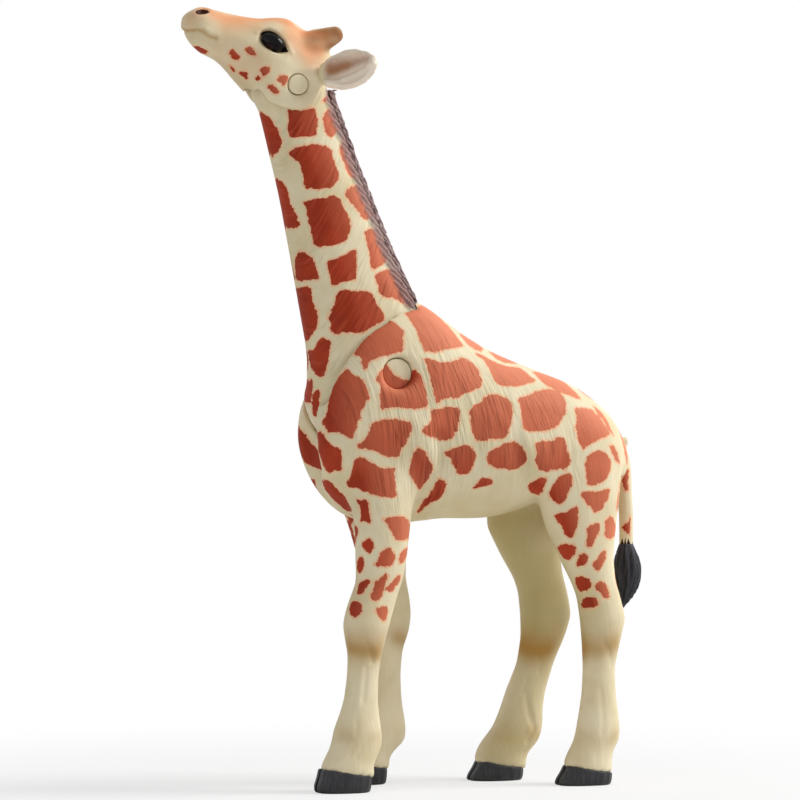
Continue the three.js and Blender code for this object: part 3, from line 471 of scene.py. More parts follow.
# %% Patch outlines on the flank and rump
FLANK_PATCHES = [
    [(431, 410), (440, 408), (455, 407), (460, 410), (459, 420), (457, 430), (452, 438),
     (444, 441), (437, 439), (430, 437), (421, 432), (422, 430), (427, 425), (431, 420)],
    [(423, 358), (432, 359), (440, 362), (452, 362), (462, 358), (470, 361), (478, 369),
     (483, 385), (477, 389), (466, 393), (458, 398), (447, 398), (440, 400), (439, 403),
     (436, 402), (433, 390), (430, 377), (427, 365)],
    [(475, 353), (484, 356), (492, 361), (505, 366), (520, 368), (528, 374), (536, 381),
     (530, 383), (518, 386), (500, 386), (493, 378), (489, 368), (483, 359)],
    [(469, 411), (474, 406), (482, 402), (484, 397), (492, 394), (505, 397), (511, 402),
     (513, 412), (511, 422), (508, 434), (503, 439), (490, 439), (483, 441), (476, 440),
     (472, 430), (470, 420)],
    [(517, 399), (530, 395), (541, 390), (553, 389), (560, 392), (565, 400), (566, 412),
     (561, 419), (557, 427), (548, 430), (538, 432), (527, 431), (523, 428), (521, 412),
     (521, 405)],
    [(443, 454), (449, 450), (463, 445), (472, 447), (476, 453), (474, 464), (469, 473),
     (464, 475), (457, 474), (453, 463), (450, 458)],
    [(486, 460), (490, 452), (497, 448), (505, 443), (514, 441), (522, 447), (527, 453),
     (527, 460), (522, 467), (515, 470), (505, 469), (492, 467)],
    [(473, 488), (476, 484), (482, 478), (490, 478), (494, 482), (490, 485), (482, 486),
     (474, 489)],
    [(534, 443), (544, 441), (551, 442), (558, 437), (565, 439), (567, 450), (571, 460),
     (569, 467), (564, 469), (552, 469), (545, 471), (537, 468), (535, 460), (536, 452)],
    [(529, 486), (533, 481), (540, 476), (547, 478), (544, 483), (543, 491), (538, 495),
     (531, 493)],
    [(574, 408), (584, 408), (592, 410), (600, 418), (606, 427), (610, 435), (600, 439),
     (590, 444), (583, 449), (579, 444), (577, 435), (575, 428), (577, 420)],
    [(585, 463), (588, 455), (599, 450), (605, 452), (611, 461), (610, 472), (605, 480),
     (599, 484), (590, 486), (586, 483), (586, 474)],
    [(609, 446), (613, 445), (617, 452), (620, 465), (615, 460), (611, 451)],
    [(593, 405), (600, 411), (606, 419), (611, 430), (614, 437), (609, 430), (603, 421),
     (596, 412)],
    [(620, 479), (622, 485), (622, 500), (619, 513), (616, 508), (618, 495)],
]

# %% Patch outlines on the legs
FORELEG_PATCHES = [
    [(355, 499), (365, 499), (369, 503), (369, 510), (371, 521), (370, 523), (365, 521),
     (360, 522), (361, 512), (359, 505)],
    [(383, 519), (388, 517), (402, 516), (408, 520), (410, 530), (409, 538), (403, 540),
     (396, 540), (392, 535), (389, 528), (388, 524)],
    [(343, 524), (347, 522), (352, 527), (358, 527), (358, 533), (356, 540), (353, 545),
     (350, 540), (346, 531)],
    [(361, 544), (366, 539), (370, 537), (373, 543), (374, 548), (370, 553), (366, 551)],
    [(380, 553), (384, 549), (390, 548), (394, 553), (395, 560), (391, 566), (384, 566),
     (379, 567), (375, 564), (378, 560)],
    [(400, 555), (403, 550), (408, 547), (409, 550), (407, 557), (404, 562), (399, 564)],
    [(357, 562), (360, 557), (363, 557), (364, 563), (362, 571), (359, 573), (357, 570)],
    [(358, 585), (361, 582), (367, 579), (371, 581), (367, 587), (362, 594), (358, 595),
     (357, 590)],
    [(370, 596), (373, 590), (376, 581), (382, 577), (386, 573), (389, 577), (384, 586),
     (382, 596), (377, 601), (372, 600)],
    [(385, 588), (391, 585), (396, 577), (401, 575), (400, 580), (395, 588), (391, 592),
     (386, 590)],
    [(349, 607), (352, 602), (360, 602), (362, 606), (361, 613), (357, 618), (352, 617),
     (350, 612)],
    [(375, 609), (380, 608), (386, 605), (388, 611), (386, 620), (383, 623), (380, 617),
     (376, 613)],
]
HIND_LEG_PATCHES = [
    [(549, 492), (553, 484), (560, 476), (570, 473), (573, 478), (571, 487), (567, 496),
     (563, 503), (559, 504), (552, 500)],
    [(581, 495), (583, 491), (597, 492), (610, 489), (609, 496), (605, 504), (600, 511),
     (595, 513), (590, 507), (584, 500)],
    [(554, 516), (560, 513), (566, 513), (572, 508), (578, 506), (579, 515), (577, 526),
     (573, 536), (569, 538), (565, 534), (561, 526), (558, 521)],
    [(605, 520), (610, 515), (613, 518), (616, 528), (615, 535), (611, 539), (604, 537),
     (605, 528)],
    [(587, 528), (592, 524), (598, 523), (600, 528), (597, 536), (593, 546), (589, 548),
     (586, 544), (587, 536)],
    [(557, 548), (561, 544), (573, 544), (576, 547), (574, 554), (570, 560), (565, 560),
     (561, 556)],
    [(578, 560), (580, 555), (585, 553), (588, 556), (587, 562), (583, 566), (577, 566)],
    [(592, 564), (597, 559), (601, 552), (606, 550), (606, 556), (602, 566), (598, 571),
     (595, 569)],
    [(575, 578), (580, 576), (588, 578), (592, 583), (591, 588), (586, 591), (580, 591),
     (576, 587)],
    [(595, 585), (601, 581), (607, 586), (609, 592), (610, 598), (605, 599), (600, 593),
     (596, 589)],
    [(581, 605), (584, 598), (590, 597), (597, 599), (599, 604), (594, 608), (586, 608),
     (582, 607)],
]

# %% Patch outlines on the head and tail
HEAD_PATCHES = [
    [(194, 47), (197, 46), (203, 49), (207, 51), (206, 54), (202, 53), (197, 50)],
    [(229, 53), (232, 50), (236, 53), (240, 58), (236, 60), (232, 57)],
    [(245, 49), (250, 48), (254, 51), (255, 55), (251, 54), (247, 52)],
    [(230, 65), (233, 68), (234, 72), (232, 71)],
    [(239, 73), (243, 72), (247, 73), (247, 79), (244, 77)],
    [(256, 78), (259, 76), (261, 79), (257, 80)],
    [(260, 70), (264, 67), (270, 67), (268, 73), (264, 76), (262, 73)],
    [(277, 79.5), (281, 76.5), (287, 76.5), (287, 81.5), (283, 85.5), (280, 82.5)],
    [(268, 86), (272, 85), (276, 89), (280, 92), (276, 94), (272, 91)],
]
TAIL_PATCHES = [
    [(621, 470), (629, 469), (632, 484), (636, 491), (624, 491)],
    [(622, 527), (629, 521), (638, 516), (638, 535), (630, 534), (624, 530)],
]

# %% [markdown]
# ## Patches that the photograph doesn't show
# The back and the rear of the rump are hidden, but the pattern goes on there. These patches
# are drawn looking straight down or straight from behind, as plain millimetres, and those on
# the back meet their mirror images over the spine.

# %% Patches over the back and behind the rump
BACK_PATCHES = [
    [(5.4, 0.8), (6.4, -3.4), (7.4, -5.3), (9.6, -5.1), (10.8, -3.4), (9.4, -1.2), (8.2, 0.8)],
    [(11.4, 0.8), (11.7, -3.0), (12.6, -4.7), (14.2, -4.6), (16.4, -3.4), (17.8, -1.0),
     (18.0, 0.8)],
    [(19.6, 0.8), (19.2, -3.6), (19.7, -5.5), (21.0, -6.5), (23.1, -6.8), (25.4, -6.8),
     (27.0, -6.4), (26.2, -5.0), (25.4, -3.4), (25.0, -1.4), (25.2, 0.8)],
    [(27.4, 0.8), (27.4, -2.2), (28.4, -4.0), (30.0, -3.6), (31.4, -1.8), (31.8, 0.8)],
]
REAR_PATCHES = [
    [(-5.4, 57.2), (-3.6, 58.8), (-2.4, 56.2), (-3.0, 53.4), (-4.6, 52.6), (-5.6, 54.4)],
    [(-5.4, 50.4), (-3.8, 51.0), (-2.8, 48.0), (-3.7, 44.8), (-5.2, 45.4), (-6.0, 48.0)],
    [(-3.4, 43.6), (-1.6, 42.6), (-1.8, 39.8), (-3.4, 39.2), (-4.4, 41.2)],
    [(-7.4, 42.6), (-5.6, 43.2), (-5.0, 39.8), (-6.2, 37.4), (-7.6, 38.6)],
    [(-8.0, 35.2), (-6.2, 36.0), (-5.4, 33.2), (-6.6, 31.2), (-8.0, 32.2)],
    [(-7.2, 29.6), (-6.0, 29.9), (-5.4, 28.2), (-6.4, 27.0), (-7.4, 27.8)],
]
FAR_OFF = 100


def seen_from(tree, outline, direction, place):
    """A patch drawn in a flat view: place turns an outline's pair into a point."""
    found = [tree.ray_cast(Vector(place(*pair)) - Vector(direction) * FAR_OFF, Vector(direction))
             for pair in outline]
    found = [hit for hit in found if hit[0] is not None]
    return Patch(np.array([hit[0] for hit in found]), np.array([hit[1] for hit in found]))


body_patches = patches_on(coat_left, SHOULDER_PATCHES + FLANK_PATCHES + FORELEG_PATCHES
                          + HIND_LEG_PATCHES)
body_patches += [seen_from(coat_left.tree(), outline, (0, 0, -1), lambda x, y: (x, y, 0))
                 for outline in BACK_PATCHES]
body_patches += [seen_from(coat_left.tree(), outline, (-1, 0, 0), lambda y, z: (0, y, z))
                 for outline in REAR_PATCHES]
paint_patches(coat_left, body_patches + patches_on(coat_left, [CHEST_LEFT]))
paint_patches(coat_right, body_patches, slide_legs=True)
for patch in patches_on(coat_right, [CHEST_RIGHT]):
    patch.mark(coat_right.paint["patch"], coat_right.points, coat_right.normals())
paint_patches(neck, patches_on(neck, NECK_PATCHES))
paint_patches(head, patches_on(head, HEAD_PATCHES))
for clay in COATS:
    share = np.mean(clay.paint["patch"] > 0)
    print(clay.node, "painted share", round(float(share), 2))

# %% [markdown]
# ## Sculpting and airbrushing along lines
# Folds, tendons and lids are lines on the toy. Each is drawn as pixels, laid on the piece,
# and every point near the line moves a little out or in along its own direction, less and
# less with distance. The airbrush works the same way, but leaves a colour number instead.

# %% Strokes
def line_distance(points, path):
    """The distance from every point to a path of straight steps."""
    nearest = np.full(len(points), np.inf)
    for start, end in zip(path[:-1], path[1:]):
        along = end - start
        share = np.clip((points - start) @ along / (along @ along + TINY), 0, 1)
        reach = np.linalg.norm(points - start - share[:, None] * along, axis=1)
        nearest = np.minimum(nearest, reach)
    return nearest


def falloff(clay, path, width, slide_legs=False):
    """One on a path, fading to nothing over about two widths."""
    points, _ = folded(clay, slide_legs)
    return np.exp(-(line_distance(points, path) / width) ** 2)


def sculpt(clay, path, width, height, slide_legs=False):
    """Raises a ridge along a path, or sinks a fold where the height is negative."""
    share = falloff(clay, path, width, slide_legs)
    clay.points += clay.normals() * (share * height)[:, None]


def airbrush(clay, colour, path, width, strength=1.0, slide_legs=False):
    """Lays a soft line of one colour, kept as a number from 0 to 1 at each point."""
    share = falloff(clay, path, width, slide_legs) * strength
    below = clay.paint.get(colour, 0.0)
    clay.paint[colour] = below + (1 - below) * share


def laid_on(clay, strokes):
    """Strokes with their pixels turned into paths on a piece."""
    return [(hits(clay.tree(), pixels)[0], *sizes) for pixels, *sizes in strokes]


def inside_legs(strokes):
    """Strokes seen on the far legs' inner sides, as they lie on the near legs."""
    return [(on_left_side(*hits(coat_right.tree(), pixels), True)[0], *sizes)
            for pixels, *sizes in strokes]


HALVES = ((coat_left, False), (coat_right, True))

# %% [markdown]
# ## Muscles and folds of the body
# The moulded body isn't smooth: the upper foreleg stands out from the ribs, the thigh
# stands out from the belly, and tendons run down the shins. Each stroke below is one of
# these, with its width and height in millimetres, and is made on both halves.

# %% Body strokes
BODY_STROKES = [
    ([(437, 436), (441, 452), (440, 468), (433, 484), (422, 500)], 1.3, -0.45),
    ([(424, 432), (430, 450), (429, 468), (420, 486)], 2.4, 0.35),
    ([(517, 446), (521, 466), (525, 484), (533, 500)], 1.5, -0.4),
    ([(533, 446), (540, 466), (546, 490)], 3.0, 0.35),
    ([(404, 358), (418, 372), (424, 388)], 1.6, -0.22),
    ([(366, 640), (371, 650), (373, 662)], 0.42, -0.2),
    ([(374, 646), (377, 656), (375, 666)], 0.5, 0.14),
    ([(366, 668), (365, 684), (363, 702)], 0.36, -0.16),
    ([(361, 672), (359, 690), (357, 708)], 0.7, 0.12),
    ([(357, 722), (357, 734)], 0.4, -0.12),
    ([(362, 748), (357, 758)], 0.3, -0.08),
    ([(354, 744), (350, 756)], 0.3, -0.08),
    ([(604, 642), (609, 652), (612, 664)], 0.5, -0.14),
    ([(591, 676), (590, 704), (586, 730)], 0.9, 0.12),
    ([(601, 690), (603, 712), (603, 732)], 0.45, -0.12),
    ([(585, 752), (584, 764)], 0.3, -0.07),
    ([(596, 754), (597, 766)], 0.3, -0.07),
]
INNER_LEG_STROKES = [
    ([(526, 694), (529, 712), (534, 730), (540, 746)], 0.5, -0.24),
    ([(532, 700), (535, 716), (541, 732)], 0.6, 0.12),
    ([(527, 680), (523, 690), (519, 700)], 0.4, -0.14),
    ([(538, 655), (541, 664), (539, 672)], 0.35, -0.12),
    ([(524, 752), (521, 764)], 0.3, -0.08),
]
body_strokes = laid_on(coat_left, BODY_STROKES) + inside_legs(INNER_LEG_STROKES)
for clay, slide in HALVES:
    for stroke in body_strokes:
        sculpt(clay, *stroke, slide)
print(len(body_strokes), "body strokes")

# %% [markdown]
# ## Tan on the knees and in the shade
# The maker sprayed a soft tan blot on each knee and hock and a weaker one above each hoof.
# The bare inner legs and the belly get khaki as a painted shade, most where they face inward
# or down. Each blot is one stroke of the airbrush, with its width in millimetres and its strength.

# %% Tan
OUTER_TAN = [
    ([(351, 648), (362, 651), (376, 651)], 1.75, 0.8),
    ([(350, 636), (366, 638), (384, 638)], 2.3, 0.32),
    ([(376, 654), (384, 658)], 1.1, 0.35),
    ([(342, 736), (350, 738)], 1.5, 0.3),
    ([(372, 738), (379, 736)], 1.3, 0.22),
    ([(586, 648), (598, 650), (610, 647)], 1.8, 0.62),
    ([(585, 640), (615, 638)], 2.2, 0.25),
    ([(617, 643), (620, 650)], 1.4, 0.4),
    ([(582, 736), (592, 738)], 1.6, 0.22),
    ([(612, 738), (617, 734)], 1.2, 0.25),
]
INNER_TAN = [
    ([(398, 638), (404, 641)], 1.5, 0.6),
    ([(396, 632), (408, 634)], 2.0, 0.25),
    ([(522, 646), (534, 651), (546, 650)], 2.0, 0.95),
    ([(518, 640), (552, 641)], 2.4, 0.35),
    ([(500, 736), (508, 738)], 1.6, 0.25),
    ([(538, 738), (543, 734)], 1.2, 0.3),
]
# Painted shade in khaki on the far hind leg's inner side.
INNER_KHAKI_SHADE = [
    ([(500, 525), (515, 560), (528, 600), (530, 630)], 4.6, 0.7),
    ([(548, 560), (556, 590), (560, 620)], 1.6, 0.3),
]
INNER_SHADE = 0.45
BELLY_SHADE = 0.22
SHADE_TOP = 46.0
BELLY_FOOT = SHADE_TOP - 8
HIND_BLEND = 4

blots = [("tan", *blot) for blot in laid_on(coat_left, OUTER_TAN) + inside_legs(INNER_TAN)]
blots += [("khaki", *blot) for blot in inside_legs(INNER_KHAKI_SHADE)]
for clay, slide in HALVES:
    side = -1 if clay is coat_left else 1
    facing = clay.normals()
    height = clay.points[:, 2]
    hind = np.clip((clay.points[:, 0] - LEG_DIVIDE) / HIND_BLEND, 0, 1)
    # Painted shade: khaki where the hind legs face inward and the belly faces down.
    inner = np.clip(-facing[:, 1] * side, 0, 1) * (height < SHADE_TOP) * hind
    belly = np.clip(-facing[:, 2], 0, 1) * (height > BELLY_FOOT)
    shade = np.maximum(inner * INNER_SHADE, belly * BELLY_SHADE)
    clay.paint["khaki"] = clay.spread(shade, rounds=10)
    for blot in blots:
        airbrush(clay, *blot, slide)
    print(clay.node, "mean tan", round(float(clay.paint["tan"].mean()), 3))

# %% [markdown]
# ## Where the fur is deep and where light is painted on
# The combed fur is deepest over the shoulder and the ribs, and almost gone on the legs and
# the belly. The red is painted paler wherever the toy faces up and back, towards the key lamp,
# as painted light. Both are numbers per point, so the same material serves every region.

# %% Fur and painted light
FUR_STROKES = [
    ([(345, 385), (345, 430)], 5.0, 0.75),
    ([(397, 382), (400, 410), (392, 455), (392, 490)], 5.0, 0.8),
    ([(446, 375), (448, 395), (446, 440), (428, 500)], 5.2, 1.0),
    ([(494, 405), (498, 445)], 4.8, 0.8),
    ([(545, 425), (552, 465)], 5.0, 0.55),
]
FUR_LEAST = 0.16
NECK_FUR = 0.6
HEAD_FUR = 0.1
PAINTED_LIGHT_WAY = unit(np.array([0.72, -0.12, 0.68]))
BODY_PAINTED_LIGHT_START = -0.35
PAINTED_LIGHT_STARTS = (BODY_PAINTED_LIGHT_START, BODY_PAINTED_LIGHT_START, 0.05, -0.45)
PAINTED_LIGHT_END = 0.8


def paint_light_facing(clay, start):
    """Stores how much each point faces up and back, where the red is painted lighter as painted
    light.
    """
    _, facing = folded(clay)
    turned = clay.spread(facing @ PAINTED_LIGHT_WAY, rounds=12)
    clay.paint["painted_light"] = np.clip((turned - start) / (PAINTED_LIGHT_END - start), 0, 1)


for clay in (coat_left, coat_right):
    clay.paint["fur"] = np.full(len(clay.points), FUR_LEAST)
    for stroke in laid_on(coat_left, FUR_STROKES):
        airbrush(clay, "fur", *stroke)
neck.paint["fur"] = NECK_FUR
head.paint["fur"] = HEAD_FUR
# Painted light: how much each piece faces up and back, towards the key lamp.
for clay, start in zip(COATS, PAINTED_LIGHT_STARTS):
    paint_light_facing(clay, start)
    print(clay.node, "mean lightening", round(float(clay.paint["painted_light"].mean()), 2))

# %% [markdown]
# ## The face
# The eye lies in a dark almond with a thin lid round it. The mouth is a soft brown crease,
# the nostril a dark almond with a raised wing, and the snout, the brow and the horns were
# sprayed salmon, with brown on the tips of the horns.

# %% Face strokes
EYE_OUTLINE = [(260.5, 33.5), (264, 31.5), (270, 31), (275, 33), (280, 38), (284.5, 45),
               (288.5, 52.5), (281, 52), (274, 50.5), (268, 46), (264, 40)]
NOSTRIL = [(194.5, 12), (197, 10), (202, 9), (207, 10), (210, 12.3), (206, 14.2), (201, 15),
           (197, 14.6)]
MOUTH = [(184, 30), (190, 30.4), (197, 29.6), (203, 31), (207, 34.5), (211, 37), (216, 38.4)]
FACE_STROKES = [
    ([(257, 33), (262, 29), (270, 28), (277, 31.5), (283, 38.5), (288, 46), (292, 53)], 0.34, 0.2),
    ([(259, 38), (264, 46), (271, 52.5), (279, 55), (287, 55)], 0.32, 0.13),
    ([(256, 27), (265, 24), (275, 26), (284, 33)], 0.9, 0.12),
    ([(262, 54), (272, 60), (284, 61)], 1.0, 0.1),
    (MOUTH, 0.34, -0.24),
    ([(185, 27.5), (191, 27.4), (198, 26.6), (205, 28.5), (210, 33)], 0.5, 0.12),
    ([(217, 34), (219, 38), (218, 42)], 0.6, 0.1),
    ([(194, 8), (203, 7), (211, 10)], 0.5, 0.1),
    ([(196, 17), (204, 17)], 0.6, 0.08),
    ([(232, 36), (246, 42), (258, 50)], 1.4, 0.12),
    ([(300, 30), (304, 40), (310, 50)], 1.2, -0.12),
    ([(318, 29), (328, 31), (336, 30)], 0.7, 0.08),
    ([(325, 84), (318, 80), (313, 73)], 1.0, 0.3),
]
SALMON = [
    ([(204, 9), (214, 14), (226, 18), (240, 19), (254, 17)], 1.5, 0.75),
    ([(228, 24), (244, 25), (256, 25)], 1.6, 0.35),
    ([(258, 18), (268, 19), (278, 19), (288, 22)], 1.5, 0.85),
    ([(288, 22), (296, 29)], 1.2, 0.5),
    ([(292, 36), (298, 42), (304, 50), (310, 58)], 1.9, 0.6),
    ([(306, 33), (316, 33), (324, 34)], 1.5, 0.95),
    ([(312, 48), (320, 50)], 1.5, 0.7),
    ([(196, 14), (190, 18)], 1.5, 0.35),
    ([(240, 62), (254, 62)], 2.6, 0.2),
    ([(222, 48), (228, 44)], 2.2, 0.12),
]
HORN_BROWN = [
    ([(320, 31), (332, 32), (340, 34)], 1.2, 0.7),
    ([(336, 30), (342, 36), (338, 44), (330, 46)], 1.1, 0.8),
    ([(314, 38), (326, 38)], 0.7, 0.3),
    ([(316, 37), (326, 39), (336, 39)], 2.2, 0.3),
]
# Tan lines at the mouth and the lids; the wide strokes under the snout, along the jaw and under
# the cheek are painted shade.
FACE_TAN_AND_SHADE = [
    (MOUTH, 0.3, 0.75),
    ([(186, 33), (200, 36), (214, 44)], 1.6, 0.16),
    ([(262, 31), (270, 30), (277, 33), (283, 40), (288, 48)], 0.26, 0.55),
    ([(262, 42), (270, 50), (280, 53.5), (288, 54)], 0.24, 0.4),
    ([(216, 60), (232, 74), (246, 88), (258, 98)], 2.0, 0.3),
    ([(262, 100), (285, 108), (312, 104)], 2.0, 0.2),
]
DARK_SPOTS = ((EYE_OUTLINE, 0.0, 1.0), (NOSTRIL, -0.45, 0.62))
DARK_EDGE = 0.12
DARK_SLOPE = 0.5

for stroke in laid_on(head, FACE_STROKES):
    sculpt(head, *stroke)
for colour, strokes in (("ochre", SALMON), ("brown", HORN_BROWN), ("tan", FACE_TAN_AND_SHADE)):
    for stroke in laid_on(head, strokes):
        airbrush(head, colour, *stroke)
head_points, head_normals = folded(head)
for outline, depth, share in DARK_SPOTS:
    inside = np.full(len(head.points), PAINT_FAR)
    patches_on(head, [outline])[0].mark(inside, head_points, head_normals)
    covered = np.clip(0.5 + inside / DARK_EDGE, 0, 1)
    head.points += head.normals() * (np.clip(inside / DARK_SLOPE, 0, 1) * depth)[:, None]
    head.paint["dark"] = np.maximum(head.paint.get("dark", 0.0), covered * share)
print("face: dark share", round(float((head.paint["dark"] > 0.5).mean()), 3))

# %% [markdown]
# ## Hollows
# The colour is darkened in hollows as a painted shade, which is what makes a moulded part
# look moulded. A hollow is where the middle of the neighbours lies outside the surface,
# so comparing a piece with its own smoothed copy finds them all.

# %% Hollows
def find_hollows(clay, rounds):
    """Stores how far each point lies under its own smoothed surface."""
    sharp = clay.points.copy()
    clay.smooth(rounds)
    depth = ((clay.points - sharp) * clay.normals()).sum(axis=1)
    clay.points = sharp
    clay.paint["hollow"] = clay.spread(depth, rounds=2)


for clay in COATS:
    find_hollows(clay, rounds=12)
    print(clay.node, "deepest hollow", round(float(clay.paint["hollow"].max()), 2), "mm")

# %% [markdown]
# ## The foot of the mane
# The mane lies over the sides of the neck in slanting ropes, and its grey was sprayed by
# hand, so a little lies beyond it. The share of grey on the neck falls with the distance to
# the mane, which a search tree of the mane measures, and the same share raises the ropes.
# The mane's own ropes follow the same waves, so they run across the joint unbroken.

# %% Ropes and overspray beside the mane
MANE_VOXEL = 0.2
MANE_SLIMMING = 0.12
MANE_SEARCH = 3.0
OVERSPRAY_REACH = (1.5, 2.2)
OVERSPRAY_FADE = 0.7
FOOT_FILL = 0.8
FILL_FADE = 3
ROPE_WAY = unit(np.array([0.66, 0.0, 0.75]))
ROPE_SPLAY = 0.35
ROPE_GAP = 0.78
ROPE_HEIGHT = 0.09
ROPE_WANDER = ((0.7, 0.9, 0), (0.5, 2.3, 1))
ROPE_DARK = 0.4
ROPE_DARK_TOP = 9


def ropes_at(points):
    """Waves from -1 to 1 that slant down and back over both sides."""
    wander = sum(width * np.sin(points[:, 2] * pitch + start)
                 for width, pitch, start in ROPE_WANDER)
    away = points @ ROPE_WAY - np.abs(points[:, 1]) * ROPE_SPLAY
    return np.sin(away * math.tau / ROPE_GAP + wander)


def rope_light_and_shade(points, ropes, foot):
    """Painted light on the ropes and painted shade between them, darker towards the mane's foot.
    """
    low_down = np.clip((foot + ROPE_DARK_TOP - points[:, 2]) / ROPE_DARK_TOP, 0, 1)
    return 0.5 + 0.5 * ropes - ROPE_DARK * low_down


mane = Clay("mane", MANE_VOXEL, rounds=8)
mane.points[:, [0, 2]] -= mane.normals()[:, [0, 2]] * MANE_SLIMMING
low, high = mane.points[:, 2].min(), mane.points[:, 2].max()
gap = np.array([mane.tree().find_nearest(Vector(point), MANE_SEARCH)[3] or MANE_SEARCH
                for point in neck.points])
height = neck.points[:, 2]
reach = np.interp(height, (low, high), OVERSPRAY_REACH[::-1])
grey = np.clip((reach - gap) / OVERSPRAY_FADE, 0, 1)
fill = FOOT_FILL * np.clip(1 - gap / reach, 0, 1) * np.clip((high - height) / FILL_FADE, 0, 1)
neck.paint["grey"] = grey
for clay, raised, share in ((neck, fill, grey ** 2), (mane, 0.0, 1.0)):
    ropes = ropes_at(clay.points)
    clay.points += clay.normals() * (raised + share * ROPE_HEIGHT * ropes)[:, None]
    # The rope number is painted light on the ropes and painted shade between them.
    clay.paint["rope"] = rope_light_and_shade(clay.points, ropes, low)
print("overspray share", round(float((grey > 0).mean()), 3))


# %% [markdown]
# ## Writing shaders as sums
# A shader is arithmetic on numbers that change over a surface. One small class stands for
# such a number: it wraps a node's output, and adding or multiplying it adds a Math node.
# Every other node comes from one method, which takes its type, its settings and its inputs.

# %% Shader helpers
def paint_colour(red, green, blue):
    """A screen colour from 0 to 255 as linear light, by the curve of the sRGB standard."""
    shares = [part / 255 for part in (red, green, blue)]
    linear = [part / 12.92 if part < 0.04045 else ((part + 0.055) / 1.055) ** 2.4
              for part in shares]
    return (*linear, 1.0)


class Wire:
    """A node's output that can be used in sums."""

    def __init__(self, finish, socket):
        self.finish = finish
        self.socket = socket

    def __add__(self, other):
        return self.finish.maths("ADD", self, other)

    def __sub__(self, other):
        return self.finish.maths("SUBTRACT", self, other)

    def __rsub__(self, other):
        return self.finish.maths("SUBTRACT", other, self)

    def __mul__(self, other):
        return self.finish.maths("MULTIPLY", self, other)

    __radd__ = __add__


class Finish:
    """A material on one Principled shader, with the sockets that stay the same all over."""

    def __init__(self, name, constants):
        self.material = bpy.data.materials.new(name)
        self.material.use_nodes = True
        self.nodes = self.material.node_tree
        self.shader = self.nodes.nodes["Principled BSDF"]
        for socket, value in constants.items():
            self.shader.inputs[socket].default_value = value

    def node(self, kind, settings=None, inputs=None, output=0):
        """Adds a node with its settings and inputs, and wraps one of its outputs."""
        made = self.nodes.nodes.new("ShaderNode" + kind)
        for name, value in (settings or {}).items():
            setattr(made, name, value)
        for socket, value in (inputs or {}).items():
            self.plug(made.inputs[socket], value)
        return Wire(self, made.outputs[output])

    def plug(self, socket, value):
        """Links a wire to a socket, or sets the socket to a plain value."""
        if isinstance(value, Wire):
            self.nodes.links.new(value.socket, socket)
        else:
            socket.default_value = value

    def maths(self, operation, first, second):
        return self.node("Math", {"operation": operation}, {0: first, 1: second})

    def mix(self, share, below, above):
        """One colour over another; the Mix node holds the share between 0 and 1."""
        return self.node("Mix", {"data_type": "RGBA"}, {0: share, 6: below, 7: above}, 2)

    def number(self, name):
        """One of the paint numbers that a piece carries at its points."""
        return self.node("Attribute", {"attribute_name": name}, output="Fac")

    def place(self, turn=(0, 0, 0), scale=(1, 1, 1)):
        """Object coordinates in millimetres, turned and stretched."""
        spot = self.node("TexCoord", output="Object")
        return self.node("Mapping", {"vector_type": "TEXTURE"},
                         {"Vector": spot, "Rotation": turn,
                          "Scale": tuple(MM * part for part in scale)})

    def noise(self, place, scale=1.0, detail=2.0, roughness=0.5):
        """Cloudy numbers round 0.5; the scale is in clouds per unit of the place."""
        return self.node("TexNoise", inputs={"Vector": place, "Scale": scale,
                                             "Detail": detail, "Roughness": roughness})

    def step(self, value, low, high):
        """0 below low, 1 above high and a soft rise between."""
        return self.node("MapRange", {"interpolation_type": "SMOOTHSTEP"},
                         {"Value": value, "From Min": low, "From Max": high})

    def done(self, colour, roughness, height, depth):
        """Feeds the shader and gives the material; the bump's depth is in millimetres."""
        bump = self.node("Bump", inputs={"Height": height, "Strength": 1.0,
                                         "Distance": depth * MM})
        for socket, value in (("Base Color", colour), ("Roughness", roughness), ("Normal", bump)):
            self.plug(self.shader.inputs[socket], value)
        return self.material


# %% [markdown]
# ## The painted coat
# The coat is cream vinyl with brick-red patches sprayed through a mask, a thin peach halo
# round each, and combed fur moulded into both. The fur is a noise drawn out along the way
# the hair lies. Where it is low the colour darkens as painted shade, where it is high it
# lightens as a painted highlight, and the same noise frays the edges of the patches and drives the
# bump.

# %% Coat colours
CREAM = paint_colour(236, 223, 190)
CREAM_SHADE = paint_colour(222, 206, 166)
CREAM_GROOVE_SHADE = paint_colour(184, 176, 138)
PATCH_RED = paint_colour(178, 62, 35)
PATCH_DEEP = paint_colour(155, 52, 27)
PATCH_GROOVE_SHADE = paint_colour(112, 32, 18)
PATCH_RIDGE_HIGHLIGHT = paint_colour(208, 106, 74)
PATCH_PAINTED_LIGHT = paint_colour(232, 143, 107)
HALO = paint_colour(242, 190, 148)
TAN = paint_colour(176, 134, 68)
KHAKI_SHADE = paint_colour(178, 160, 102)
OCHRE = paint_colour(240, 158, 108)
HORN_TIP = paint_colour(150, 96, 58)
MANE_SPRAY = paint_colour(160, 134, 131)
MANE_FURROW_SHADE = paint_colour(98, 74, 72)
PAINTED_CREASE_SHADE = paint_colour(146, 116, 70)
EYE_RIM = paint_colour(74, 38, 22)
SOFT_BLACK = paint_colour(26, 20, 18)


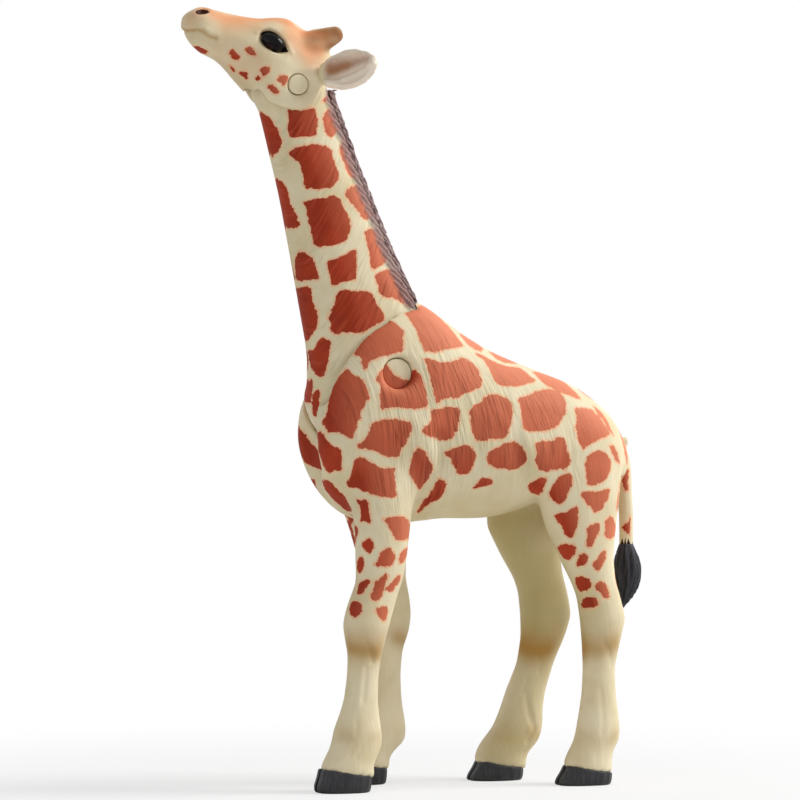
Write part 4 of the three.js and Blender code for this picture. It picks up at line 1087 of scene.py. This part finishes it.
# %% Coat finish
HAIR_SKEW = math.radians(28)
HAIR_LENGTH = 5.2
DEEP_FUR = (0.3, 0.62)
GROOVES = (0.32, 0.49)
RIDGES = (0.52, 0.68)
PATCH_START = 0.73
RAG_COARSE = 0.64
RAG_FINE = 0.36
RAG_HAIR = 0.46
PATCH_EDGE = (-0.05, 0.05)
HALO_EDGE = (-0.44, -0.08)
HALO_SHARE = 0.95
CREAM_CLOUDS = (0.35, 0.75)
RED_CLOUDS = (0.3, 0.7)
PAINTED_LIGHT_SHARE = 0.9
RIDGE_HIGHLIGHT_SHARE = 0.36
CREAM_GROOVE_SHADE_SHARE = 0.45
RED_GROOVE_SHADE_SHARE = 0.58
CREASE_SHADE_DEPTHS = (0.015, 0.16)
CREASE_SHADE_SHARE = 0.5
FURROWS = (0.3, 1.0)
SPRAY_SHARE = 0.92
RIM_EDGE = (0.2, 0.55)
BLACK_EDGE = (0.62, 1.0)
SPRAYS = (("khaki", KHAKI_SHADE), ("tan", TAN), ("ochre", OCHRE), ("brown", HORN_TIP))


def coat_finish(name, hair_lean, hair_depth, hair_gap=0.46, patch_growth=0.0):
    """Cream vinyl with patches; the hair leans from upright by an angle in degrees."""
    finish = Finish(name, {"Specular IOR Level": 0.12})
    spot = finish.place()
    turn = (0, math.radians(hair_lean), HAIR_SKEW)
    hair = (hair_gap, HAIR_LENGTH * 0.6, HAIR_LENGTH)
    strands = finish.noise(finish.place(turn, hair), roughness=0.55)
    fine = finish.noise(finish.place(turn, [part * 0.5 for part in hair]), roughness=0.6)
    locks = finish.noise(finish.place(turn, (hair_gap * 4, HAIR_LENGTH, HAIR_LENGTH * 2)))
    blotch = finish.noise(spot, scale=0.12, detail=3.0)
    speckle = finish.noise(spot, scale=2.2, detail=3.0, roughness=0.65)
    fur = finish.number("fur")
    deep = finish.step(locks, *DEEP_FUR) * fur
    # Painted shade darkens the fur's grooves and a painted highlight lightens its ridges.
    groove_shade = (1.0 - finish.step(strands, *GROOVES)) * deep
    ridge_highlight = finish.step(strands, *RIDGES)
    ragged = finish.noise(spot, scale=1.1) * RAG_COARSE + speckle * RAG_FINE + strands * RAG_HAIR
    edge = finish.number("patch") + ragged + (patch_growth - PATCH_START)
    patch = finish.step(edge, *PATCH_EDGE)
    halo = finish.step(edge, *HALO_EDGE) * (1.0 - patch)
    cream = finish.mix(finish.step(blotch, *CREAM_CLOUDS), CREAM, CREAM_SHADE)
    cream = finish.mix(groove_shade * CREAM_GROOVE_SHADE_SHARE, cream, CREAM_GROOVE_SHADE)
    cream = finish.mix(halo * HALO_SHARE, cream, HALO)
    for number, sprayed in SPRAYS:
        cream = finish.mix(finish.number(number), cream, sprayed)
    red = finish.mix(finish.step(blotch, *RED_CLOUDS), PATCH_RED, PATCH_DEEP)
    # Painted light: the red is lighter where the toy faces up and back, towards the key lamp.
    red = finish.mix(finish.number("painted_light") * PAINTED_LIGHT_SHARE, red, PATCH_PAINTED_LIGHT)
    red = finish.mix(ridge_highlight * (deep * RIDGE_HIGHLIGHT_SHARE + 0.05), red, PATCH_RIDGE_HIGHLIGHT)
    red = finish.mix(groove_shade * RED_GROOVE_SHADE_SHARE, red, PATCH_GROOVE_SHADE)
    colour = finish.mix(patch, cream, red)
    # Painted shade: the colour darkens in the hollows.
    crease_shade = finish.step(finish.number("hollow"), *CREASE_SHADE_DEPTHS)
    colour = finish.mix(crease_shade * CREASE_SHADE_SHARE, colour, PAINTED_CREASE_SHADE)
    # Painted shade in the furrows of the grey beside the mane.
    furrow_shade = finish.step(finish.number("rope") + strands * 0.7, *FURROWS)
    spray = finish.mix(furrow_shade, MANE_FURROW_SHADE, MANE_SPRAY)
    colour = finish.mix(finish.number("grey") * SPRAY_SHARE, colour, spray)
    dark = finish.number("dark") + speckle * 0.12
    colour = finish.mix(finish.step(dark, *RIM_EDGE), colour, EYE_RIM)
    colour = finish.mix(finish.step(dark, *BLACK_EDGE), colour, SOFT_BLACK)
    relief = (strands + fine * 0.35) * (deep * 0.85 + fur * 0.15) + speckle * 0.06
    return finish.done(colour, roughness=0.56 + speckle * 0.12 - patch * 0.05,
                       height=relief - patch * 0.05, depth=hair_depth)


body_coat = coat_finish("body_coat", hair_lean=-7, hair_depth=0.33, hair_gap=0.4)
neck_coat = coat_finish("neck_coat", hair_lean=27, hair_depth=0.24)
head_coat = coat_finish("head_coat", hair_lean=60, hair_depth=0.08, patch_growth=0.12)
print("coat nodes:", len(body_coat.node_tree.nodes))

# %% [markdown]
# ## From clay to a Blender piece
# A finished clay becomes an ordinary mesh in metres with its numbers as attributes.

# %% Make a piece from clay
UNPAINTED = {"patch": PAINT_FAR, "tan": 0, "khaki": 0, "ochre": 0, "brown": 0, "grey": 0,
             "rope": 0.5, "painted_light": 0, "fur": 0.5, "hollow": 0, "dark": 0}


def piece_from_clay(clay, name, material, body, hair=None):
    """Makes the shown piece, in place of its CAD solid, on its body."""
    mesh = bpy.data.meshes.new(name)
    mesh.from_pydata((clay.points * MM).tolist(), [], clay.faces.tolist())
    for number, empty in UNPAINTED.items():
        values = np.broadcast_to(clay.paint.get(number, empty), len(clay.points))
        stored = mesh.attributes.new(number, "FLOAT", "POINT")
        stored.data.foreach_set("value", np.ascontiguousarray(values, np.float32))
    mesh.polygons.foreach_set("use_smooth", [True] * len(mesh.polygons))
    mesh.materials.append(material)
    piece = add_object(name, mesh)
    if hair:
        grow_hair(piece, **hair)
    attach(piece, body)
    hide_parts(clay.node)
    print(name, len(mesh.polygons), "faces")


piece_from_clay(coat_left, "coat_left", body_coat, "trunk")
piece_from_clay(coat_right, "coat_right", body_coat, "trunk")
piece_from_clay(neck, "neck_coat", neck_coat, "neck")
piece_from_clay(head, "head_coat", head_coat, "head")

# %% [markdown]
# ## Pins, hooves and eyes
# The small rigid parts keep their solids' shapes. They too are turned into clay, because a
# moulded edge is never sharp: a little smoothing rounds it. The neck's pin is sunk a little
# in its holes, and a groove down the front splits each hoof in two, as a giraffe's hoof is.

# %% Pins
PIN_VOXEL = 0.14
PIN_SWELL = 0.2
PIN_CORE = 1.0
PIN_END = 1.2
PIN_BLEND = 0.4
NECK_PIVOT = (-5.973, 68.116)
NECK_PIN_SINK = 0.42
NECK_PIN_PAINTED_LIGHT = 0.45
HEAD_PIVOT = (-21.989, 115.164)
NECK_PIN_PATCH = [(378, 356), (386, 363), (389, 368), (394, 374), (401, 379.5), (406, 379),
                  (412, 381), (409, 390), (397, 394), (384, 388)]


def swell_pin(pin, pivot):
    """Thickens a pin's ends a little, so that it fills its bore as a pressed pin does."""
    away = pin.points[:, [0, 2]] - pivot
    reach = np.linalg.norm(away, axis=1, keepdims=True)
    out = np.abs(pin.points[:, [1]])
    end = np.clip((out - out.max() + PIN_END) / PIN_BLEND, 0, 1)
    pin.points[:, [0, 2]] += away / np.maximum(reach, PIN_CORE) * end * PIN_SWELL


def paint_as_seen(clay, outline):
    """Marks a patch in the flat view of the camera, on a piece too small to aim at."""
    points, _ = folded(clay)
    depth = inside_distance(pixels_of(points), rounded(np.array(outline, float))) * PIXEL
    clay.paint["patch"] = np.maximum(depth, PAINT_FAR)


neck_pin = Clay("neck_pin", PIN_VOXEL, rounds=3)
neck_pin.points[:, 1] *= 1 - NECK_PIN_SINK / neck_pin.points[:, 1].max()
swell_pin(neck_pin, NECK_PIVOT)
paint_as_seen(neck_pin, NECK_PIN_PATCH)
# Painted light on the pin's red, as on the body beside it.
neck_pin.paint["painted_light"] = NECK_PIN_PAINTED_LIGHT
head_pin = Clay("head_pin", PIN_VOXEL, rounds=3)
swell_pin(head_pin, HEAD_PIVOT)
pin_finish = coat_finish("pin_finish", hair_lean=12, hair_depth=0.03)
piece_from_clay(neck_pin, "neck_pin_coat", pin_finish, "trunk")
piece_from_clay(head_pin, "head_pin_coat", pin_finish, "head")

# %% Hoof finish
HOOF_DARK = paint_colour(33, 33, 36)
HOOF_GREY = paint_colour(52, 52, 56)
HOOF_DUST = paint_colour(72, 69, 66)
DUST_SHARE = 0.35


def hoof_finish():
    """Charcoal horn with fine upright growth lines and a little dust near the ground."""
    finish = Finish("hoof_horn", {"Specular IOR Level": 0.36})
    spot = finish.place()
    lines = finish.noise(finish.place(scale=(0.35, 0.35, 3.5)), detail=3.0)
    grain = finish.noise(spot, scale=2.4, detail=3.0)
    colour = finish.mix(finish.step(lines, low=0.35, high=0.75), HOOF_DARK, HOOF_GREY)
    height = finish.node("SeparateXYZ", inputs={0: spot}, output="Z")
    dust = 1.0 - finish.step(height + grain * 0.8, low=0.2, high=1.3)
    colour = finish.mix(dust * DUST_SHARE, colour, HOOF_DUST)
    return finish.done(colour, roughness=0.42 + grain * 0.2, height=lines + grain * 0.5,
                       depth=0.025)


# %% Hooves
HOOF_VOXEL = 0.15
TOE_BAND = 0.4
TOE_POINTS = 3
CLEFT_WIDTH = 0.28
CLEFT_DEPTH = -0.5
CLEFT_START = 1.9
CLEFT_TURN = 0.6
CLEFT_END = 2.2
HIND_TOE_LEAN = (-0.25, 0.85)
horn = hoof_finish()
for place in ("front_left", "front_right", "hind_left", "hind_right"):
    hoof = Clay("hoof_" + place, HOOF_VOXEL, rounds=4)
    low, high = hoof.points.min(axis=0), hoof.points.max(axis=0)
    if place.startswith("hind"):
        toeward = np.clip((low[0] + high[0] - 2 * hoof.points[:, 0]) / (high[0] - low[0]), 0, 1)
        lean = np.interp(hoof.points[:, 2], (low[2], high[2]), HIND_TOE_LEAN)
        hoof.points[:, 0] += toeward * lean
        low = hoof.points.min(axis=0)
    middle = (low[1] + high[1]) / 2
    front = hoof.points[np.abs(hoof.points[:, 1] - middle) < TOE_BAND]
    toe = front[np.argsort(front[:, 0])[:TOE_POINTS]].mean(axis=0)
    cleft = np.array([[low[0] + CLEFT_START, middle, high[2]], [toe[0], middle, CLEFT_TURN],
                      [toe[0] + CLEFT_END, middle, 0]])
    sculpt(hoof, cleft, CLEFT_WIDTH, CLEFT_DEPTH)
    hoof.points[:, 2] = np.maximum(hoof.points[:, 2], low[2])
    piece_from_clay(hoof, "horn_" + place, horn, "trunk")

# %% Eyes
EYE_VOXEL = 0.1
EYE_BLACK = paint_colour(8, 6, 6)
EYE_BROWN = paint_colour(58, 30, 18)
BROWN_SHARE = 0.8
EYE_SHRINK = 0.12


def eye_finish(middle):
    """Black gloss paint under a clear coat, with a trace of brown below the middle's height."""
    finish = Finish("eye_gloss", {"Specular IOR Level": 0.06, "Coat Weight": 0.14,
                                  "Coat Roughness": 0.02})
    cloud = finish.noise(finish.place(), scale=0.9)
    height = finish.node("SeparateXYZ", inputs={0: finish.place()}, output="Z")
    below = 1.0 - finish.step(height - middle, low=-1.1, high=-0.1)
    brown = finish.step(cloud, low=0.4, high=0.7) * below
    colour = finish.mix(brown * BROWN_SHARE, EYE_BLACK, EYE_BROWN)
    return finish.done(colour, roughness=0.13 + cloud * 0.06, height=cloud, depth=0.01)


eyes = {side: Clay("eye_" + side, EYE_VOXEL, rounds=0) for side in ("left", "right")}
gloss = eye_finish(float(eyes["left"].points[:, 2].mean()))
for side, eye in eyes.items():
    eye.smooth(rounds=10)
    away = eye.points - eye.points.mean(axis=0)
    length_way = np.linalg.svd(away, full_matrices=False)[2][0]
    eye.points -= np.outer(away @ length_way, length_way) * EYE_SHRINK
    piece_from_clay(eye, "eyeball_" + side, gloss, "head")

# %% [markdown]
# ## Ears
# An ear is a shallow cup with a thick pale rim. Inside it is brown-grey, with a painted shade
# that is darkest low down by the root. The cup's edge is traced like a patch, so the same signed
# distance tells the material where the inside is. The root is drawn forward over the cheek.

# %% Ears
EAR_VOXEL = 0.13
EAR_CUP = [(318, 68), (326, 60), (338, 54.5), (352, 51.5), (364, 51.5), (373, 55), (371, 61),
           (360, 66), (347, 72), (335, 77), (325, 79)]
EAR_HOLLOW = [(326, 73), (337, 70), (350, 64), (362, 58)]
EAR_SHADE = [(324, 72), (334, 74), (346, 70)]
EAR_ROOT = [(319, 64), (319, 74), (323, 84)]
EAR_ROOT_REACH = 0.9
EAR_ROOT_PIXELS = (340, 15)
EAR_RIDGE = [(325, 83), (334, 82.5), (346, 78.5), (360, 72.5), (373, 63)]
EAR_RIM = [(326, 60), (336, 53.5), (348, 49.5), (362, 48.8), (372, 53)]
EAR_STROKES = ((EAR_HOLLOW, 1.5, -0.42), (EAR_RIDGE, 0.5, 0.46), (EAR_RIM, 0.4, 0.1))
EAR_SPRAYS = ((EAR_SHADE, 1.7), (EAR_ROOT, 0.8))
EAR_PALE = paint_colour(250, 236, 222)
EAR_BACK = paint_colour(240, 226, 200)
EAR_CUP_GREY = paint_colour(190, 156, 136)
EAR_CUP_SHADE_BROWN = paint_colour(176, 126, 92)
EAR_CREASE_SHADE_SHARE = 0.4


def ear_finish():
    """Pale skin outside and a brown-grey cup."""
    finish = Finish("ear_skin", {"Specular IOR Level": 0.12})
    spot = finish.place()
    grain = finish.noise(spot, scale=1.6, detail=3.0)
    outer = finish.mix(finish.noise(spot, scale=0.5), EAR_PALE, EAR_BACK)
    # Painted shade: the cup goes browner low down by the root.
    shade = finish.step(finish.number("tan"), low=0.1, high=0.9)
    inner = finish.mix(shade, EAR_CUP_GREY, EAR_CUP_SHADE_BROWN)
    cup = finish.step(finish.number("patch") + grain * 0.3, low=-0.1, high=1.3)
    colour = finish.mix(cup, outer, inner)
    colour = finish.mix(finish.number("khaki"), colour, CREAM_SHADE)
    # Painted shade: the ear's colour darkens in its hollows.
    crease_shade = finish.step(finish.number("hollow"), low=0.01, high=0.1)
    colour = finish.mix(crease_shade * EAR_CREASE_SHADE_SHARE, colour, PAINTED_CREASE_SHADE)
    hairs = finish.noise(finish.place(turn=(0, 1.2, 0), scale=(0.4, 0.4, 4)))
    return finish.done(colour, roughness=0.52 + grain * 0.1, height=grain + hairs * 0.6,
                       depth=0.03)


def pull_root(ear):
    """Draws the ear's root forward over the cheek, most where it leaves the head."""
    start, length = EAR_ROOT_PIXELS
    across = pixels_of(folded(ear)[0])[:, 0]
    share = np.clip((start - across) / length, 0, 1) ** 1.5
    ear.points[:, 0] -= share * EAR_ROOT_REACH


ear_skin = ear_finish()
ears = {side: Clay("ear_" + side, EAR_VOXEL, rounds=6) for side in ("left", "right")}
for ear in ears.values():
    pull_root(ear)
cup_patches = patches_on(ears["left"], [EAR_CUP])
folds = laid_on(ears["left"], EAR_STROKES)
shade, root = laid_on(ears["left"], EAR_SPRAYS)
for side, ear in ears.items():
    for fold in folds:
        sculpt(ear, *fold)
    paint_patches(ear, cup_patches)
    airbrush(ear, "tan", *shade)
    airbrush(ear, "khaki", *root)
    find_hollows(ear, rounds=6)
    piece_from_clay(ear, "ear_skin_" + side, ear_skin, "head")

# %% [markdown]
# ## Geometry Nodes for hair
# The mane is hundreds of small locks. One lock is modelled once, and a Geometry Nodes tree
# strews it over a surface: it scatters points where the surface faces the chosen way, turns
# each lock so that it lies along the surface and down the hair's way, and makes them real.

# %% One lock of hair
LOCK_STATIONS = ((0.0, 0.05), (0.18, 0.75), (0.42, 1.0), (0.7, 0.72), (0.9, 0.3), (1.0, 0.04))
LOCK_CORNERS = ((-0.5, 0.0), (-0.22, 0.4), (0.22, 0.4), (0.5, 0.0), (0.0, -0.35))


def lock_shape(length, width, thickness):
    """A pointed, slightly humped leaf that lies along X."""
    corners = [(share * length, across * width * size, rise * thickness * size)
               for share, size in LOCK_STATIONS for across, rise in LOCK_CORNERS]
    ring = len(LOCK_CORNERS)
    last = len(LOCK_STATIONS) - 1
    faces = [(row * ring + side, (row + 1) * ring + side,
              (row + 1) * ring + (side + 1) % ring, row * ring + (side + 1) % ring)
             for row in range(last) for side in range(ring)]
    faces += [tuple(range(ring)), tuple(last * ring + side for side in reversed(range(ring)))]
    mesh = bpy.data.meshes.new("hair_lock")
    mesh.from_pydata([tuple(part * MM for part in corner) for corner in corners], [], faces)
    mesh.polygons.foreach_set("use_smooth", [True] * len(faces))
    return bpy.data.objects.new("hair_lock", mesh)


# %% The tree that strews locks over a surface
HAIR_INPUTS = (("Surface", "Geometry"), ("Gap", "Float"), ("Comb", "Vector"),
               ("Top", "Vector"), ("Lift", "Float"))
TOP_LEAST = 0.6
LOCK_SWINGS = ((-0.1, 0.02, -0.25), (0.1, 0.1, 0.25))
LOCK_SIZES = (0.75, 1.15)
DENSE_ENOUGH = 1e8
POINT_SEED, SWING_SEED, SIZE_SEED = 7, 11, 5


def hair_tree(name, lock, material):
    """Scatters locks over a surface, laid along it and combed one way."""
    tree = bpy.data.node_groups.new(name, "GeometryNodeTree")
    for title, kind in HAIR_INPUTS:
        tree.interface.new_socket(title, in_out="INPUT", socket_type="NodeSocket" + kind)
    tree.interface.new_socket("Hair", in_out="OUTPUT", socket_type="NodeSocketGeometry")

    def node(kind, inputs=None, **settings):
        """Adds a node, links or sets its inputs, and returns its outputs."""
        made = tree.nodes.new(kind)
        for setting, value in settings.items():
            setattr(made, setting, value)
        for socket, value in (inputs or {}).items():
            if isinstance(value, bpy.types.NodeSocket):
                tree.links.new(value, made.inputs[socket])
            else:
                made.inputs[socket].default_value = value
        return made.outputs

    given = node("NodeGroupInput")
    normal = node("GeometryNodeInputNormal")
    facing = node("ShaderNodeVectorMath", {0: normal[0], 1: given["Top"]},
                  operation="DOT_PRODUCT")
    chosen = node("FunctionNodeCompare", {0: facing["Value"], 1: TOP_LEAST},
                  data_type="FLOAT", operation="GREATER_THAN")
    points = node("GeometryNodeDistributePointsOnFaces",
                  {"Mesh": given["Surface"], "Selection": chosen[0], "Seed": POINT_SEED,
                   "Distance Min": given["Gap"], "Density Max": DENSE_ENOUGH},
                  distribute_method="POISSON")
    comb = node("FunctionNodeAlignRotationToVector",
                {"Rotation": points["Rotation"], "Vector": given["Comb"]},
                axis="X", pivot_axis="Z")
    swing = node("FunctionNodeRandomValue",
                 {0: LOCK_SWINGS[0], 1: LOCK_SWINGS[1], "Seed": SWING_SEED},
                 data_type="FLOAT_VECTOR")
    turn = node("FunctionNodeRotateRotation", {0: comb[0], 1: swing[0]}, rotation_space="LOCAL")
    size = node("FunctionNodeRandomValue",
                {2: LOCK_SIZES[0], 3: LOCK_SIZES[1], "Seed": SIZE_SEED}, data_type="FLOAT")
    shape = node("GeometryNodeObjectInfo", {"Object": lock})
    placed = node("GeometryNodeInstanceOnPoints",
                  {"Points": points["Points"], "Instance": shape["Geometry"],
                   "Rotation": turn[0], "Scale": size[1]})
    height = node("ShaderNodeCombineXYZ", {"Z": given["Lift"]})
    lifted = node("GeometryNodeTranslateInstances",
                  {"Instances": placed[0], "Translation": height[0]})
    both = node("GeometryNodeJoinGeometry", {0: lifted[0]})
    tree.links.new(given["Surface"], both[0].node.inputs[0])
    real = node("GeometryNodeRealizeInstances", {0: both[0]})
    coloured = node("GeometryNodeSetMaterial", {0: real[0], "Material": material})
    node("NodeGroupOutput", {0: coloured[0]})
    return tree


def grow_hair(surface, tree, **sizes):
    """Runs the tree on a surface and keeps the result as the surface's plain mesh."""
    hair = surface.modifiers.new("hair", "NODES")
    hair.node_group = tree
    for item in tree.interface.items_tree:
        if item.in_out == "INPUT" and item.name in sizes:
            hair[item.identifier] = sizes[item.name]
    graph = bpy.context.evaluated_depsgraph_get()
    surface.data = bpy.data.meshes.new_from_object(surface.evaluated_get(graph))
    surface.modifiers.remove(hair)
    print(surface.name, len(surface.data.polygons), "faces with its hair")


# %% Mane
# Painted shade between the mane's strands and a painted highlight on them.
MANE_GROOVE_SHADE = paint_colour(98, 76, 74)
MANE_HIGHLIGHT = paint_colour(190, 168, 164)


def hair_finish(name, colours, stretch_turn, gloss):
    """Hair colour, with painted shade between the strands and a painted highlight where they stand
    out.
    """
    dark, mid, light = colours
    finish = Finish(name, {"Specular IOR Level": gloss})
    stretched = finish.place(turn=(0, math.radians(stretch_turn), 0), scale=(0.3, 0.3, 3.0))
    strands = finish.noise(stretched, detail=3.0, roughness=0.6)
    grain = finish.noise(finish.place(), scale=2.5)
    furrow_shade = strands + finish.number("rope") * 0.3 - 0.15
    colour = finish.mix(finish.step(furrow_shade, low=0.3, high=0.55), dark, mid)
    crest_highlight = finish.step(strands + grain * 0.2, low=0.6, high=0.85)
    colour = finish.mix(crest_highlight, colour, light)
    return finish.done(colour, roughness=0.5 + grain * 0.2, height=strands + grain * 0.2,
                       depth=0.1)


mane_hair = hair_finish("mane_hair", (MANE_GROOVE_SHADE, MANE_SPRAY, MANE_HIGHLIGHT),
                        stretch_turn=-45, gloss=0.2)
mane_lock = lock_shape(length=1.15, width=0.52, thickness=0.4)
piece_from_clay(mane, "mane_locks", mane_hair, "neck",
                {"tree": hair_tree("mane_tree", mane_lock, mane_hair),
                 "Gap": 0.36 * MM, "Comb": (0.45, 0.0, -0.89), "Top": (0.92, 0.0, 0.38),
                 "Lift": -0.08 * MM})

# %% [markdown]
# ## Tail
# The tail is a cream cord with two patches that ends in a black tuft. The black was brushed
# upwards over the cream, so its edge is a row of teeth round the tail.

# %% Tail
TAIL_VOXEL = 0.16
TAIL_RING = 3.0
TEETH = 9
TOOTH_HEIGHT = 0.9
TOOTH_START = 0.1
TOOTH_EDGE = 0.2
TAIL_DROP = 0.45
TAIL_DROP_REACH = 1.2
tail = Clay("tail", TAIL_VOXEL, rounds=6)
paint_patches(tail, patches_on(tail, TAIL_PATCHES))
tail_end = tail.points[:, 2].min()
above = tail.points[:, 2] - tail_end
ring = tail.points[above < TAIL_RING].mean(axis=0)
turn = np.arctan2(tail.points[:, 1] - ring[1], tail.points[:, 0] - ring[0]) / math.tau
teeth = np.abs((turn * TEETH + 0.35 * np.sin(turn * 19)) % 1.0 - 0.5) * 2 * TOOTH_HEIGHT
tail.paint["dark"] = np.clip(0.5 + (TOOTH_START + teeth - above) / TOOTH_EDGE, 0, 1)
tail.points[:, 2] -= TAIL_DROP * np.exp(-(above / TAIL_DROP_REACH) ** 2)
# Painted light on the tail's red where it faces up and back.
paint_light_facing(tail, BODY_PAINTED_LIGHT_START)
tail_coat = coat_finish("tail_coat", hair_lean=5, hair_depth=0.12)
piece_from_clay(tail, "tail_coat", tail_coat, "trunk")

# %% [markdown]
# ## Tuft
# The tuft is one smooth drop of black hair, combed into strands that run down it. Rows of
# waves round the drop raise the strands, and the hair finish adds the single hairs.

# %% Tuft
TUFT_BLACK = paint_colour(30, 31, 36)
TUFT_MID = paint_colour(44, 45, 51)
TUFT_SHEEN = paint_colour(66, 67, 74)
STRAND_WAVES = ((7, 0.5, 0.16), (15, -0.8, 0.12), (31, 0.6, 0.06))
TUFT_RAISE = 0.3
TUFT_TOP = 0.85
tuft = Clay("tail_tuft", TAIL_VOXEL, rounds=8)
low, high = tuft.points[:, 2].min(), tuft.points[:, 2].max()
along = (tuft.points[:, 2] - low) / (high - low)
spine = np.polyfit(along, tuft.points[:, 0], 3)
turn = np.arctan2(tuft.points[:, 1], tuft.points[:, 0] - np.polyval(spine, along))
raised = sum(height * np.sin(turn * count + along * twist * math.tau + 2 * np.sin(turn * 3))
             for count, twist, height in STRAND_WAVES)
fade = np.clip(along * 6, 0, 1) * np.clip((1 - along) * 5, 0, 1)
tuft.points += tuft.normals() * (raised * fade)[:, None]
tuft.points[:, 2] += TUFT_RAISE * np.clip((along - TUFT_TOP) / (1 - TUFT_TOP), 0, 1)
tuft_hair = hair_finish("tuft_hair", (TUFT_BLACK, TUFT_MID, TUFT_SHEEN),
                        stretch_turn=6, gloss=0.35)
piece_from_clay(tuft, "tuft_hair", tuft_hair, "trunk")

# %% [markdown]
# ## Floor, backdrop and light
# The toy stands on a pale floor that catches its shadow and fades to the white of the
# photograph's background further out. One large lamp up on the right gives the form its
# light side, and a weak one on the left keeps the chest from going dark.

# %% Stage
FLOOR_SIZE = 1600
FLOOR_COLOUR = paint_colour(238, 238, 238)
SHADOW_NEAR = 45
SHADOW_FAR = 150
NEAR_WHITE = 0.6

floor_mesh = bpy.data.meshes.new("floor")
half = FLOOR_SIZE * MM / 2
floor_mesh.from_pydata([(-half, -half, 0), (half, -half, 0), (half, half, 0), (-half, half, 0)],
                       [], [(0, 1, 2, 3)])
floor = add_object("floor", floor_mesh)

stage = Finish("stage_floor", {"Roughness": 0.9, "Specular IOR Level": 0.1,
                               "Base Color": FLOOR_COLOUR})
ground = stage.node("TexCoord", output="Object")
distance = stage.node("VectorMath", {"operation": "LENGTH"}, {0: ground}, "Value")
fade = stage.step(distance, SHADOW_NEAR * MM, SHADOW_FAR * MM)
path = stage.node("LightPath", output="Is Camera Ray")
white = stage.node("Emission", inputs={"Color": (1, 1, 1, 1), "Strength": 1.0})
painted = Wire(stage, stage.shader.outputs[0])
whiteness = (fade * (1 - NEAR_WHITE) + NEAR_WHITE) * path
shown = stage.node("MixShader", inputs={0: whiteness, 1: painted, 2: white})
sink = stage.nodes.nodes["Material Output"]
stage.nodes.links.new(shown.socket, sink.inputs["Surface"])
floor_mesh.materials.append(stage.material)

# %% World
WORLD_STRENGTH = 0.4
world = bpy.data.worlds.new("studio")
bpy.context.scene.world = world
world.use_nodes = True
nodes, links = world.node_tree.nodes, world.node_tree.links
rays = nodes.new("ShaderNodeLightPath")
seen = rays.outputs["Is Camera Ray"]
for kind in ("Is Glossy Ray", "Is Transmission Ray"):
    either = nodes.new("ShaderNodeMath")
    either.operation = "MAXIMUM"
    links.new(seen, either.inputs[0])
    links.new(rays.outputs[kind], either.inputs[1])
    seen = either.outputs[0]
level = nodes.new("ShaderNodeMapRange")
level.inputs["To Min"].default_value = WORLD_STRENGTH
level.inputs["To Max"].default_value = 1.0
links.new(seen, level.inputs["Value"])
nodes["Background"].inputs["Color"].default_value = (1, 1, 1, 1)
links.new(level.outputs[0], nodes["Background"].inputs["Strength"])

# %% Lamps
def lamp(name, side, height, depth, size, power):
    """A square soft lamp, placed from the camera's own right, up and back, in millimetres."""
    data = bpy.data.lights.new(name, "AREA")
    data.size = size * MM
    data.energy = power
    made = add_object(name, data)
    place = LOOK_AT + right * side + np.array([0, 0, height]) + back * depth
    made.location = Vector(place * MM)
    made.rotation_euler = Vector(LOOK_AT - place).to_track_quat("-Z", "Y").to_euler()


lamp("key", side=580, height=480, depth=-40, size=300, power=4.6)
lamp("fill", side=-420, height=120, depth=420, size=400, power=0.3)
lamp("rim", side=250, height=300, depth=-420, size=400, power=0.35)

# %% [markdown]
# ## The end
# Standard view colours show the paint as it is mixed.

# %% Finish
bpy.context.scene.view_settings.view_transform = "Standard"
